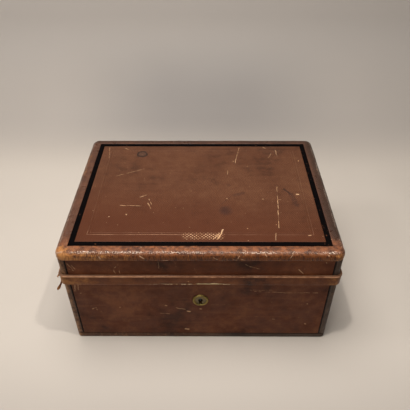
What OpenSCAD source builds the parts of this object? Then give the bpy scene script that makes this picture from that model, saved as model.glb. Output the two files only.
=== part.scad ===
// Leather-covered dressing box with a fitted inside.
// The origin is on the floor under the middle of the box. The front looks along -Y.

/* [Case] */
// Width over the leather
box_w = 300; // [280:1:340]
// Depth over the leather
box_d = 222; // [205:1:250]
// Height of the joint between base and lid
base_h = 104; // [102:1:120]
// Height of the lid above the joint
lid_h = 39.5; // [38:0.5:50]
// Radius of the upright corners
corner_r = 5; // [4:0.5:7]

/* [Boards and skins] */
// Thickness of the wooden walls
wall_t = 9; // [8.5:0.5:11]
// Thickness of the bottom board
bottom_t = 6; // [4:0.5:8]
// Thickness of the covering leather
leather_t = 1.2; // [0.8:0.1:1.6]
// Thickness of the cloth lining
lining_t = 1; // [0.6:0.1:1.4]
// Gap between base and lid when shut
joint_gap = 0.4; // [0.2:0.1:0.8]
// Fingers in each corner joint of the base
base_fingers = 7; // [3:2:11]
// Fingers in each corner joint of the lid
lid_fingers = 3; // [3:2:5]

/* [Leather trim] */
// Width of the corner strips on each face
corner_strip_w = 7.7; // [6.5:0.1:12]
// Width of the open seams between panels
seam_gap = 1.1; // [0.3:0.1:1.4]
// Height of the strip round the foot
foot_h = 6.4; // [4:0.2:9]
// Height of the rolled edge of the lid
roll_h = 10; // [8:0.5:13]
// How far the rolled edge stands out
roll_out = 1.4; // [0.6:0.1:2.4]
// Radius over the top of the rolled edge
roll_r = 6; // [4:0.5:7]
// Radius of the lid's corners seen from above
roll_corner_r = 8; // [7.8:0.2:10]
// Distance from the face to the black border
border_in = 11; // [9:0.5:16]
// Width of the black border
border_w = 6.2; // [3:0.2:10]
// Depth by which the border lies below the leather
border_sink = 0.2; // [0.1:0.1:0.5]
// Distance of the tooled line from the black border
fillet_in = 11; // [5:0.5:16]
// Width of the tooled line
fillet_w = 0.8; // [0.5:0.1:1.2]
// Depth of the tooled line
fillet_sink = 0.3; // [0.2:0.1:0.5]

/* [Covering band] */
// Height of the band over the joint
band_h = 14.2; // [12:0.2:18]
// How far the band reaches below the joint
band_drop = 7; // [5:0.5:9]
// Thickness of the brass strip in the band
core_t = 0.8; // [0.5:0.1:1.2]
// Thickness of the band's leather
band_t = 1.2; // [0.8:0.1:1.6]
// How far the bead along the band stands out
bead_out = 0.8; // [0.4:0.1:1.2]
// Clearance between band and base
band_gap = 0.4; // [0.3:0.1:0.8]
// Start of the band's bead above the joint at the back
band_back_z = 5.3; // [5.2:0.1:6]
// Left end of the worn gap in the band's lower edge
worn_x0 = -3; // [-8:1:0]
// Right end of the worn gap
worn_x1 = 25; // [15:1:40]
// Height of the worn gap
worn_h = 2.2; // [1:0.2:4]

/* [Hinges] */
// Distance of each hinge from the middle
hinge_x = 88; // [60:1:100]
// Length of each hinge
hinge_w = 38; // [30:1:50]
// Distance of the hinge axis inside the back face
hinge_in = 4; // [3.5:0.1:4.6]
// Outer radius of the knuckles
knuckle_r = 2.4; // [2:0.1:2.8]
// Radius of the hinge pin
hinge_pin_r = 0.8; // [0.6:0.1:1.2]
// Radial clearance of the pin in the knuckles
pin_clear = 0.05; // [0.02:0.01:0.1]
// Distance of the hinge leaves from the lining
leaf_margin = 0.8; // [0.4:0.1:1.2]
// Slope of the bevels that stop the lid
bevel_angle = 48; // [48:0.5:52]

/* [Lock] */
// Height of the keyhole
keyhole_z = 69; // [62:1:75]
// Width of the lock's plate
lock_w = 62; // [56:1:80]
// Thickness of the lock's plate
lock_plate_t = 1.5; // [1:0.1:2]
// Depth of the lock's recess in the wall
lock_recess = 7; // [6.6:0.1:7.4]
// Length of the ears that screw down each end of the lock
lock_ear = 7; // [6:0.5:10]
// Travel of the bolt
bolt_travel = 6; // [5:0.5:7]
// Thickness of the bolt
bolt_t = 1.8; // [1.4:0.1:2]
// Distance of each staple from the middle
staple_x = 14; // [12:0.5:17]
// Length of the staples below the joint
staple_len = 9; // [8:0.5:10]
// Radius of the drill pin
drill_pin_r = 0.9; // [0.7:0.1:1.2]
// Radius of the round of the keyhole
keyhole_r = 2.7; // [2.4:0.1:3.2]
// Radius of the escutcheon
escutcheon_r = 9; // [8:0.5:12]

/* [Fitted inside] */
// Thickness of the partition boards
partition_t = 3; // [2:0.5:4]
// Depth of the row of cells along the back
cell_d = 54; // [54:1:60]
// Width of each end cell, for a jar
jar_cell_w = 54; // [54:1:60]
// Width of each cell for a bottle
bottle_cell_w = 44; // [44:1:50]
// Height of the blocks under jars and bottles
riser_h = 18; // [12:1:20]
// Depth of the tray
tray_h = 20; // [16:1:22]
// Thickness of the tray's boards
tray_t = 4; // [3:0.5:5]
// Clearance round the tray
tray_gap = 0.5; // [0.3:0.1:1]
// Thickness of the tray's bottom
tray_bottom_t = 2.5; // [2:0.5:3.5]
// Thickness of the tray's dividers
divider_t = 2.5; // [1.5:0.5:3.5]
// Depth of the tray's rear compartments
rear_comp_d = 46; // [36:1:56]
// Distance of the front dividers from the middle
front_divider_x = 60; // [45:1:75]
// Place of the rear divider
rear_divider_x = 30; // [10:1:50]
// Number of ring rolls
ring_rolls_n = 8; // [4:1:8]
// Width of each ring roll
ring_roll_w = 11.4; // [9:0.2:12]
// Width of the ledges under the tray
ledge_w = 5; // [4:0.5:8]
// Height of the ledges under the tray
ledge_h = 6; // [4:0.5:10]

/* [Jars and bottles] */
// Radius of the jars
jar_r = 24.5; // [22:0.5:25]
// Height of the jars' glass
jar_h = 66; // [60:1:67]
// Wall of the glass
glass_t = 3.2; // [2.4:0.2:4]
// Number of flutes round a jar
flutes_n = 18; // [12:1:24]
// Width of the bottles
bottle_w = 38; // [34:1:40]
// Height of the bottles' glass below the neck
bottle_h = 56; // [50:1:58]
// Radius of the bottles' neck
neck_r = 9; // [8:0.5:10]
// Height of the necks
neck_h = 9; // [8:0.5:11]
// Height of the silver lids and caps
cap_h = 15; // [14:0.5:16]
// Clearance of lids and caps on the glass
cap_gap = 0.3; // [0.2:0.1:0.5]

/* [Mirror] */
// Width of the mirror's frame
mirror_w = 226; // [160:1:250]
// Depth of the mirror's frame
mirror_d = 156; // [110:1:175]
// Width of the frame's moulding
frame_w = 13; // [8:1:20]
// Thickness of the frame
frame_t = 4; // [3:0.5:4.5]
// Thickness of the mirror glass
mirror_t = 2.6; // [2:0.1:2.8]

/* [Hidden] */
$fn = 64;

total_h = base_h + lid_h;
half_w = box_w / 2;
half_d = box_d / 2;
// Wooden case: its size outside and inside the walls
case_w = box_w - 2 * leather_t;
case_d = box_d - 2 * leather_t;
case_r = corner_r - leather_t;
post_x = (case_w - wall_t) / 2;
post_y = (case_d - wall_t) / 2;
bare_w = case_w - 2 * wall_t;
bare_d = case_d - 2 * wall_t;
in_w = bare_w - 2 * lining_t;
in_d = bare_d - 2 * lining_t;
// Levels
board_z = leather_t;
wall_z = board_z + bottom_t;
floor_z = wall_z + lining_t;
rim_z = base_h - joint_gap / 2;
wall_top_z = rim_z - leather_t;
lid_rim_z = base_h + joint_gap / 2;
lid_wall_z = lid_rim_z + leather_t;
roll_z = total_h - roll_h;
ceiling_z = roll_z - lining_t;
// Rounded slab of the lid: the part inside the swept edge
slab_corner_r = 0.6;
slab_in = roll_corner_r - slab_corner_r;
// Hinges, measured from their axis
axis_y = half_d - hinge_in;
axis_z = base_h;
channel_clear = 0.4;
channel_end = 0.3;
channel_r = knuckle_r + channel_clear;
knuckles_n = 5;
knuckle_pitch = hinge_w / knuckles_n;
knuckle_gap = 0.1;
leaf_t = leather_t;
leaf_inner_y = in_d / 2 + leaf_margin - axis_y;
leaf_screw_r = 1.3;
leaf_screw_len = 7;
leaf_screw_x = hinge_w / 3;
leaf_screw_y = (leaf_inner_y - channel_r) / 2;
// Lock, measured from the inner face of the front wall
lock_y = -bare_d / 2;
plate_y = lock_y - lock_plate_t;
recess_y = lock_y - lock_recess;
bolt_y = (plate_y + recess_y) / 2;
selvedge_lip = 0.8;
selvedge_d = lock_recess + selvedge_lip;
plate_below_key = 9;
bolt_above_key = 7;
lock_low_z = keyhole_z - plate_below_key;
bolt_low_z = keyhole_z + bolt_above_key;
bolt_clear = 0.2;
bolt_top_z = rim_z - lock_plate_t - bolt_clear;
staple_t = 2;
staple_clear = 0.55;
staple_w = lock_recess - lock_plate_t - 2 * staple_clear;
// Slots in the selvedge, larger than the staples by this each way
slot_clear_x = 0.7;
slot_clear_y = 0.45;
// Notches in the bolt round the staples, and the claws that enter their eyes
notch_clear = 0.6;
notch_low_z = lid_rim_z - staple_len - notch_clear;
claw_h = 2.2;
eye_h = 3.6;
eye_clear = 0.4;
eye_w = bolt_t + 2 * eye_clear;
staple_tip = 2;
eye_z = lid_rim_z - staple_len + staple_tip;
bolt_end_left = 5;
bolt_end_right = 7;
bolt_left = -staple_x - bolt_travel - bolt_end_left;
bolt_right = staple_x + bolt_end_right;
// Notch under the bolt for the key's bit
talon_w = 8;
talon_h = 4;
stud_r = 1.5;
stud_clear = 0.2;
stud_in = 2;
stud_up = 9;
stud_z = bolt_low_z + stud_up;
escutcheon_gap = 0.15;
keyhole_clear = 0.5;
pin_short = 0.2;
// Lining left out round the lock's plate
lining_cut = 1;
key_slot_h = 6.4;
key_slot_w = 1.8;
key_slot_low_w = 4.6;
studs_x = [-staple_x - stud_in, staple_x - stud_in];
boss_w = 1.4;
boss_clear = 0.1;
stud_clear_y = 0.3;
// Spring under the bolt, with its nose in one of two nicks
nick = 2;
detent_x = staple_x - nick / 2;
spring_foot_w = 2;
spring_foot_h = 4;
spring_foot_z = lock_low_z + 1;
spring_x = lock_w / 2 - spring_foot_w;
spring_t = 0.7;
// Drop of the spring's bends below the bolt, and rise of its nose into a nick
spring_drop = 1.6;
spring_nose = 1.4;
spring_slope = 1;
spring_bend_in = 5;
spring_tail = 3;
screw_r = 2;
screw_len = 9;
link_in = 4;
link_w = lock_w - 2 * link_in;
link_d = 6.6;
link_t = leather_t + 0.4;
link_screw_in = 4;
link_screw_x = link_w / 2 - link_screw_in;
// Base edges cut by the bevels
bevel_run = 12;
far = 1000;
eps = 0.01;
// Fitted inside
row_y = in_d / 2 - cell_d;
row_board_y = row_y - partition_t;
partition_drop = 8;
partition_top_z = rim_z - partition_drop;
riser_z = floor_z + riser_h;
jar_x = in_w / 2 - jar_cell_w / 2;
bottle_x = in_w / 2 - jar_cell_w - partition_t - bottle_cell_w / 2;
cell_y = in_d / 2 - cell_d / 2;
tray_front = -in_d / 2 + tray_gap;
tray_back = row_board_y - tray_gap;
tray_w = in_w - 2 * tray_gap;
tray_sink = 1.3;
tray_top_z = rim_z - tray_sink;
tray_z = tray_top_z - tray_h;
tray_floor_z = tray_z + tray_bottom_t;
tray_in_w = tray_w - 2 * tray_t;
tray_in_front = tray_front + tray_t;
tray_in_back = tray_back - tray_t;
long_divider_y = tray_in_back - rear_comp_d - divider_t;
divider_sink = 2;
divider_top_z = tray_top_z - divider_sink;
velvet_t = 0.8;
cloth_gap = 0.1;
// Finger notches in the tray's ends, round a point above the rim
notch_r = 14;
notch_up = 4;
// Glass and silver
jar_neck_h = 7;
jar_neck_r = jar_r - glass_t / 2;
glass_base_t = glass_t + 2;
foot_bevel = 1;
flute_r = 2.6;
flute_cut = 1;
flute_foot = 6;
flute_top = 14;
shoulder_h = 3;
shoulder_in = 2;
bottle_chamfer = 5;
cap_wall = 4.5;
cap_bevel = 1;
lid_step_h = 2;
lid_step_in = 1.6;
lid_dome_in = 5;
bead_r = 1.2;
bead_in = 0.4;
cap_lift = 0.2;
// Mirror glass in the rebate of its frame
frame_rebate = 3;
frame_corner_r = 3;
glass_w = mirror_w - 2 * (frame_w - frame_rebate);
glass_d = mirror_d - 2 * (frame_w - frame_rebate);

leather_brown = [0.33, 0.17, 0.11];
leather_worn = [0.47, 0.26, 0.14];
leather_black = [0.05, 0.045, 0.045];
wood_tan = [0.62, 0.46, 0.3];
brass = [0.78, 0.62, 0.32];
steel = [0.4, 0.4, 0.42];
velvet_red = [0.33, 0.07, 0.11];
satin_red = [0.5, 0.16, 0.2];
glass_clear = [0.85, 0.93, 0.93, 0.5];
silver = [0.8, 0.8, 0.78];

// Rectangle about the origin with round corners, or square ones where r is 0
module rounded_rect(w, d, r) {
    if (r <= 0.05) square([w, d], center = true);
    else {
        square([w - 2 * r, d], center = true);
        square([w, d - 2 * r], center = true);
        for (sx = [-1, 1], sy = [-1, 1])
            translate([sx * (w / 2 - r), sy * (d / 2 - r)]) circle(r = r, $fn = 48);
    }
}

// Upright column of that plan
module column(w, d, r, z0, z1) {
    translate([0, 0, z0]) linear_extrude(z1 - z0) rounded_rect(w, d, r);
}

// Upright ring between two such plans
module ring(w, d, r, t, z0, z1) {
    difference() {
        column(w, d, r, z0, z1);
        column(w - 2 * t, d - 2 * t, r - t, z0 - 1, z1 + 1);
    }
}

// Block from one corner to the opposite one
module block(a, b) {
    translate(a) cube(b - a);
}

// Profile swept round the box: x of the profile is the distance outside the face
module sweep_round(r) {
    for (turn = [0, 180]) rotate([0, 0, turn])
        translate([half_w, half_d - r, 0]) rotate([90, 0, 0]) linear_extrude(box_d - 2 * r) children();
    for (turn = [90, 270]) rotate([0, 0, turn])
        translate([half_d, half_w - r, 0]) rotate([90, 0, 0]) linear_extrude(box_w - 2 * r) children();
    for (sx = [-1, 1], sy = [-1, 1])
        translate([sx * (half_w - r), sy * (half_d - r), 0])
            rotate([0, 0, sx > 0 ? (sy > 0 ? 0 : -90) : (sy > 0 ? 90 : 180)])
                rotate_extrude(angle = 90) translate([r, 0]) children();
}

// Fingers of a corner joint, in a box at the origin of wall_t by wall_t
module corner_fingers(h, count, phase) {
    for (i = [phase:2:count - 1])
        translate([-eps, -eps, i * h / count]) cube([wall_t + 2 * eps, wall_t + 2 * eps, h / count]);
}

// Front or back wall: sy is the side it stands on
module long_wall(sy, z0, z1, count) {
    h = z1 - z0;
    intersection() {
        difference() {
            block([-case_w / 2, min(sy * case_d / 2, sy * bare_d / 2), z0],
                  [case_w / 2, max(sy * case_d / 2, sy * bare_d / 2), z1]);
            for (sx = [-1, 1])
                translate([sx * post_x - wall_t / 2, sy * post_y - wall_t / 2, z0])
                    corner_fingers(h, count, 1);
        }
        column(case_w, case_d, case_r, z0, z1);
    }
}

// Left or right wall: sx is the side it stands on
module short_wall(sx, z0, z1, count) {
    h = z1 - z0;
    intersection() {
        difference() {
            block([min(sx * case_w / 2, sx * bare_w / 2), -case_d / 2, z0],
                  [max(sx * case_w / 2, sx * bare_w / 2), case_d / 2, z1]);
            for (sy = [-1, 1])
                translate([sx * post_x - wall_t / 2, sy * post_y - wall_t / 2, z0])
                    corner_fingers(h, count, 0);
        }
        column(case_w, case_d, case_r, z0, z1);
    }
}

// Wedge outside the hinge axis that the bevels take away: up is 1 for the lid, -1 for the base
module bevel_wedge(up, shift) {
    rise = bevel_run * tan(bevel_angle);
    drop = shift / cos(bevel_angle);
    multmatrix([[0, 0, 1, -far / 2], [1, 0, 0, axis_y], [0, 1, 0, axis_z]])
        linear_extrude(far)
            polygon([[-0.001, 0], [-0.001, up * drop], [bevel_run, up * (rise + drop)], [bevel_run, 0]]);
}

// Facing of the bevel, as thick as the leather
module bevel_facing(up) {
    drop = leather_t / cos(bevel_angle);
    reach = hinge_in;
    rise = reach * tan(bevel_angle);
    multmatrix([[0, 0, 1, -half_w], [1, 0, 0, axis_y], [0, 1, 0, axis_z]])
        linear_extrude(box_w)
            polygon([[0, up * joint_gap / 2], [0, up * drop],
                     [reach, up * (rise + drop)], [reach, up * rise]]);
}

// Clearance round both hinges
module hinge_channels(r) {
    for (sx = [-1, 1]) translate([sx * hinge_x, axis_y, axis_z]) rotate([0, 90, 0])
        cylinder(r = r, h = hinge_w + 2 * channel_end, center = true);
}

// Plan of the keyhole, round its middle: a round with a flared slot below
module keyhole_plan(grow) {
    top = key_slot_w / 2 + grow;
    low = key_slot_low_w / 2 + grow;
    circle(r = keyhole_r + grow);
    polygon([[-top, 0], [-low, -key_slot_h - grow], [low, -key_slot_h - grow], [top, 0]]);
}

// The keyhole cut through from y0 to y1
module keyhole_cut(grow, y0, y1) {
    translate([0, y1, keyhole_z]) rotate([90, 0, 0]) linear_extrude(y1 - y0) keyhole_plan(grow);
}

// Strip on the four faces, cut into panels by the corner strips
module face_panel(side, z0, z1) {
    reach_x = half_w - corner_strip_w - seam_gap;
    reach_y = half_d - corner_strip_w - seam_gap;
    if (side == "front") block([-reach_x, -half_d, z0], [reach_x, -half_d + leather_t, z1]);
    if (side == "back") block([-reach_x, half_d - leather_t, z0], [reach_x, half_d, z1]);
    if (side == "left") block([-half_w, -reach_y, z0], [-half_w + leather_t, reach_y, z1]);
    if (side == "right") block([half_w - leather_t, -reach_y, z0], [half_w, reach_y, z1]);
}

module corner_strips(z0, z1) {
    strip = corner_strip_w + 2 * eps;
    intersection() {
        ring(box_w, box_d, corner_r, leather_t, z0, z1);
        for (sx = [-1, 1], sy = [-1, 1])
            translate([sx * (half_w - corner_strip_w / 2), sy * (half_d - corner_strip_w / 2), z0 - 1])
                linear_extrude(z1 - z0 + 2) square([strip, strip], center = true);
    }
}

// Leather turned in over the edges of the walls
module rim_strip(z0, z1) {
    difference() {
        column(box_w, box_d, corner_r, z0, z1);
        column(in_w, in_d, 0, z0 - 1, z1 + 1);
    }
}

// Body of a countersunk screw, with its head's top at the origin: also its seat
module screw_body(head_r, len) {
    head_h = head_r / 2;
    translate([0, 0, -head_h]) cylinder(r1 = head_h, r2 = head_r, h = head_h);
    translate([0, 0, -len]) cylinder(r1 = head_h / 4, r2 = head_h, h = len - head_h);
}

module screw(head_r, len) {
    difference() {
        screw_body(head_r, len);
        cube([head_r * 3, head_r * 0.3, head_r * 0.4], center = true);
    }
}

// Base of wood

module bottom_board() {
    color(wood_tan) column(case_w, case_d, case_r, board_z, wall_z);
}

// Selvedge of the lock, up to the given y and z
module selvedge(y1, z1) {
    block([-lock_w / 2 - lock_ear, lock_y - selvedge_d, rim_z - lock_plate_t],
          [lock_w / 2 + lock_ear, y1, z1]);
}

module at_lock_screws() {
    for (sx = [-1, 1])
        translate([sx * (lock_w + lock_ear) / 2, lock_y - selvedge_d / 2, rim_z]) children();
}

module front_wall() {
    color(wood_tan) difference() {
        long_wall(-1, wall_z, wall_top_z, base_fingers);
        block([-lock_w / 2, recess_y, lock_low_z], [lock_w / 2, lock_y + 1, wall_top_z + 1]);
        selvedge(lock_y + 1, wall_top_z + 1);
        at_lock_screws() screw_body(screw_r, screw_len);
        keyhole_cut(keyhole_clear, -half_d - 1, lock_y);
    }
}

module back_wall() {
    color(wood_tan) difference() {
        long_wall(1, wall_z, wall_top_z, base_fingers);
        bevel_wedge(-1, leather_t);
        hinge_channels(channel_r);
        at_leaf_screws(-1) screw_body(leaf_screw_r, leaf_screw_len);
    }
}

module side_wall(sx) {
    color(wood_tan) difference() {
        short_wall(sx, wall_z, wall_top_z, base_fingers);
        bevel_wedge(-1, leather_t);
    }
}

module left_wall() {
    side_wall(-1);
}

module right_wall() {
    side_wall(1);
}

// Base leather

module front_leather() {
    color(leather_brown) difference() {
        face_panel("front", foot_h + seam_gap, wall_top_z);
        translate([0, -half_d + leather_t + 1, keyhole_z]) rotate([90, 0, 0])
            cylinder(r = escutcheon_r + escutcheon_gap, h = leather_t + 2);
    }
}

module back_leather() {
    color(leather_brown) difference() {
        face_panel("back", foot_h + seam_gap, wall_top_z);
        bevel_wedge(-1, leather_t);
    }
}

module left_leather() {
    color(leather_brown) difference() {
        face_panel("left", foot_h + seam_gap, wall_top_z);
        bevel_wedge(-1, leather_t);
    }
}

module right_leather() {
    color(leather_brown) difference() {
        face_panel("right", foot_h + seam_gap, wall_top_z);
        bevel_wedge(-1, leather_t);
    }
}

module corner_leathers() {
    color(leather_worn) difference() {
        corner_strips(foot_h + seam_gap, wall_top_z);
        bevel_wedge(-1, leather_t);
    }
}

module foot_edging() {
    edge_r = leather_t * 0.8;
    color(leather_brown) sweep_round(corner_r) {
        difference() {
            translate([-leather_t, 0]) square([leather_t, foot_h]);
            translate([-edge_r, -eps]) square([edge_r + eps, edge_r]);
        }
        translate([-edge_r, edge_r]) intersection() {
            circle(r = edge_r);
            translate([0, -edge_r]) square([edge_r, edge_r + eps]);
        }
    }
}

module underside_leather() {
    color(leather_black) column(case_w, case_d, case_r, 0, board_z);
}

module rim_leather() {
    color(leather_brown) difference() {
        union() {
            difference() {
                rim_strip(wall_top_z, rim_z);
                bevel_wedge(-1, 0);
            }
            intersection() {
                bevel_facing(-1);
                column(box_w, box_d, corner_r, 0, rim_z);
            }
        }
        hinge_channels(channel_r);
        leaf_seats(wall_top_z - 1, rim_z + 1);
        selvedge(-in_d / 2 + 1, rim_z + 1);
    }
}

// Lock

module escutcheon() {
    seat_y = -case_d / 2;
    rim_w = 2.6;
    plate_up = 0.2;
    dome_r = rim_w / 2;
    dome_low = 0.3;
    dome_top = 1.2;
    color(brass) difference() {
        translate([0, seat_y, keyhole_z]) rotate([90, 0, 0]) rotate_extrude() {
            square([escutcheon_r - dome_r, leather_t + plate_up]);
            translate([escutcheon_r - rim_w, 0]) square([rim_w, leather_t + dome_low + 2 * eps]);
            translate([escutcheon_r - dome_r, leather_t]) intersection() {
                circle(r = dome_r, $fn = 48);
                translate([-dome_r, dome_low]) square([rim_w, dome_top - dome_low]);
            }
        }
        keyhole_cut(0, -half_d - wall_t, lock_y);
    }
}

module lock_plate() {
    boss_h = plate_y - bolt_y - bolt_t / 2 - boss_clear;
    color(brass) difference() {
        union() {
            block([-lock_w / 2, plate_y, lock_low_z], [lock_w / 2, lock_y, rim_z]);
            selvedge(lock_y, rim_z);
            for (x = studs_x) translate([x, plate_y + eps, stud_z]) rotate([90, 0, 0]) {
                cylinder(r = stud_r, h = plate_y - recess_y - stud_clear_y);
                cylinder(r = stud_r + boss_w, h = boss_h);
            }
            block([spring_x, bolt_y - bolt_t / 2, spring_foot_z],
                  [lock_w / 2, plate_y + eps, spring_foot_z + spring_foot_h]);
        }
        for (sx = [-1, 1])
            translate([sx * staple_x, bolt_y, rim_z])
                cube([staple_t + 2 * slot_clear_x, staple_w + 2 * slot_clear_y, lock_plate_t * 3],
                     center = true);
        at_lock_screws() screw_body(screw_r, screw_len);
        translate([0, lock_y + 1, keyhole_z]) rotate([90, 0, 0])
            cylinder(r = drill_pin_r, h = lock_plate_t + 2);
    }
}

module drill_pin() {
    color(brass) translate([0, lock_y, keyhole_z]) rotate([90, 0, 0])
        cylinder(r = drill_pin_r, h = half_d + lock_y - pin_short);
}

module bolt_plan() {
    notch_w = staple_t + bolt_travel + 2 * notch_clear;
    notch_x = -staple_t / 2 - bolt_travel - notch_clear;
    difference() {
        translate([bolt_left, bolt_low_z]) square([bolt_right - bolt_left, bolt_top_z - bolt_low_z]);
        for (sx = [-1, 1])
            translate([sx * staple_x + notch_x, notch_low_z])
                square([notch_w, bolt_top_z - notch_low_z + 1]);
        for (x = studs_x) translate([x, stud_z]) stud_slot();
        translate([-(bolt_travel + talon_w) / 2, bolt_low_z - eps]) square([talon_w, talon_h]);
        for (x = [detent_x, detent_x - bolt_travel])
            translate([x, bolt_low_z - eps]) polygon([[-nick, 0], [0, nick], [nick, 0]]);
    }
    for (sx = [-1, 1])
        translate([sx * staple_x + notch_x - eps, eye_z + (eye_h - claw_h) / 2])
            square([bolt_travel + eps, claw_h]);
}

module stud_slot() {
    r = stud_r + stud_clear;
    translate([-bolt_travel, -r]) square([bolt_travel, 2 * r]);
    circle(r = r);
    translate([-bolt_travel, 0]) circle(r = r);
}

module lock_bolt() {
    color(brass) translate([0, bolt_y + bolt_t / 2, 0]) rotate([90, 0, 0])
        linear_extrude(bolt_t) bolt_plan();
}

module lock_spring() {
    top_z = spring_foot_z + spring_foot_h;
    bend_z = bolt_low_z - spring_drop;
    nose_z = bolt_low_z + spring_nose;
    rise_z = bend_z + spring_slope;
    bend_x = spring_x - spring_bend_in;
    rise_x = detent_x + nick;
    tail_x = detent_x - spring_tail;
    color(steel) translate([0, bolt_y + bolt_t / 2, 0]) rotate([90, 0, 0]) linear_extrude(bolt_t)
        polygon([[spring_x, spring_foot_z], [spring_x, top_z], [bend_x, bend_z], [rise_x, rise_z],
                 [detent_x, nose_z], [tail_x, bend_z], [tail_x + spring_t / 2, bend_z - spring_t / 2],
                 [detent_x, nose_z - spring_t], [rise_x, rise_z - spring_t],
                 [bend_x - spring_t, bend_z - spring_t], [spring_x - spring_t, top_z],
                 [spring_x - spring_t, spring_foot_z]]);
}

// Hinges

module both_hinges() {
    for (sx = [-1, 1]) translate([sx * hinge_x, axis_y, axis_z]) children();
}

// Screw places of both hinges: up is 1 for the lid, -1 for the base
module at_leaf_screws(up) {
    both_hinges() for (sx = [-1, 1])
        translate([sx * leaf_screw_x, leaf_screw_y, up * joint_gap / 2])
            rotate([up > 0 ? 180 : 0, 0, 0]) children();
}

// Leather left out where the leaves lie
module leaf_seats(z0, z1) {
    for (sx = [-1, 1])
        block([sx * hinge_x - hinge_w / 2, axis_y + leaf_inner_y, z0],
              [sx * hinge_x + hinge_w / 2, axis_y, z1]);
}

// Plates and knuckles of one set of leaves, from the first knuckle on
module hinge_leaf(up, first, bore_r) {
    z0 = up > 0 ? joint_gap / 2 : -joint_gap / 2 - leaf_t;
    difference() {
        union() {
            translate([-hinge_w / 2, leaf_inner_y, z0])
                cube([hinge_w, -channel_r - leaf_inner_y, leaf_t]);
            for (i = [first:2:knuckles_n - 1])
                    translate([-hinge_w / 2 + i * knuckle_pitch + knuckle_gap, 0, 0]) {
                rotate([0, 90, 0]) cylinder(r = knuckle_r, h = knuckle_pitch - 2 * knuckle_gap);
                translate([0, -channel_r - eps, z0])
                    cube([knuckle_pitch - 2 * knuckle_gap, channel_r + eps, leaf_t]);
            }
        }
        rotate([0, 90, 0]) cylinder(r = bore_r, h = hinge_w + 2, center = true);
    }
}

module hinge_base_leaves() {
    color(brass) difference() {
        both_hinges() hinge_leaf(-1, 0, hinge_pin_r);
        at_leaf_screws(-1) screw_body(leaf_screw_r, leaf_screw_len);
    }
}

module hinge_lid_leaves() {
    color(brass) difference() {
        both_hinges() hinge_leaf(1, 1, hinge_pin_r + pin_clear);
        at_leaf_screws(1) screw_body(leaf_screw_r, leaf_screw_len);
    }
}

module hinge_pins() {
    color(brass) both_hinges() rotate([0, 90, 0]) cylinder(r = hinge_pin_r, h = hinge_w, center = true);
}

module case_screws() {
    color(brass) {
        at_leaf_screws(-1) screw(leaf_screw_r, leaf_screw_len);
        at_lock_screws() screw(screw_r, screw_len);
    }
}

// Base lining and partitions

module floor_lining() {
    color(velvet_red) column(in_w, in_d, 0, wall_z, floor_z);
}

module wall_lining() {
    color(velvet_red) difference() {
        ring(bare_w, bare_d, 0, lining_t, wall_z, wall_top_z);
        block([-lock_w / 2 - lining_cut, -half_d, lock_low_z - lining_cut],
              [lock_w / 2 + lining_cut, -in_d / 2 + 1, wall_top_z + 1]);
    }
}

module row_partition() {
    color(velvet_red) block([-in_w / 2, row_board_y, floor_z], [in_w / 2, row_y, partition_top_z]);
}

module cell_partitions() {
    jar_board_x = in_w / 2 - jar_cell_w - partition_t;
    color(velvet_red) for (turn = [0, 1], x = [jar_board_x, jar_board_x - partition_t - bottle_cell_w])
        mirror([turn, 0, 0]) block([x, row_y, floor_z], [x + partition_t, in_d / 2, partition_top_z]);
}

module cell_risers() {
    color(velvet_red) for (sx = [-1, 1]) {
        translate([sx * jar_x, cell_y, floor_z + riser_h / 2])
            cube([jar_cell_w, cell_d, riser_h], center = true);
        translate([sx * bottle_x, cell_y, floor_z + riser_h / 2])
            cube([bottle_cell_w, cell_d, riser_h], center = true);
    }
}

module tray_ledges() {
    color(velvet_red) for (sx = [-1, 1])
        block([min(sx * in_w / 2, sx * (in_w / 2 - ledge_w)), -in_d / 2, tray_z - ledge_h],
              [max(sx * in_w / 2, sx * (in_w / 2 - ledge_w)), row_board_y, tray_z]);
}

// Lid of wood

// Profile of the slab's moulded edge, with a skin of the given thickness taken off
module roll_profile(skin) {
    top = total_h - skin;
    side = roll_out - skin;
    r = roll_r - skin;
    translate([-slab_in, roll_z]) square([slab_in, roll_h - skin - r]);
    translate([-slab_in, roll_z]) square([slab_in + side - r, roll_h - skin]);
    translate([0, roll_z + skin]) square([side, roll_h - 2 * skin - r]);
    translate([side - r, top - r]) intersection() {
        circle(r = r);
        square([r, r]);
    }
}

// Top of the lid with its moulded edge, less a skin
module lid_slab(skin) {
    sweep_round(roll_corner_r) roll_profile(skin);
    column(box_w - 2 * slab_in, box_d - 2 * slab_in, roll_corner_r - slab_in, roll_z, total_h - skin);
}

module lid_top_board() {
    color(wood_tan) lid_slab(leather_t);
}

module lid_front_wall() {
    color(wood_tan) difference() {
        long_wall(-1, lid_wall_z, roll_z, lid_fingers);
        link_block(link_t);
        at_link_screws() screw_body(leaf_screw_r, leaf_screw_len);
    }
}

module lid_back_wall() {
    color(wood_tan) difference() {
        long_wall(1, lid_wall_z, roll_z, lid_fingers);
        bevel_wedge(1, leather_t);
        hinge_channels(channel_r);
        at_leaf_screws(1) screw_body(leaf_screw_r, leaf_screw_len);
    }
}

module lid_side_wall(sx) {
    color(wood_tan) difference() {
        short_wall(sx, lid_wall_z, roll_z, lid_fingers);
        bevel_wedge(1, leather_t);
    }
}

module lid_left_wall() {
    lid_side_wall(-1);
}

module lid_right_wall() {
    lid_side_wall(1);
}

// Lid leather

module lid_edge_leather() {
    color(leather_worn) difference() {
        lid_slab(0);
        lid_slab(leather_t);
        column(box_w - 2 * border_in, box_d - 2 * border_in, 0, roll_z, total_h + 1);
    }
}

module lid_black_border() {
    w = box_w - 2 * border_in;
    d = box_d - 2 * border_in;
    color(leather_black) ring(w, d, 0, border_w, total_h - leather_t, total_h - border_sink);
}

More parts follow.
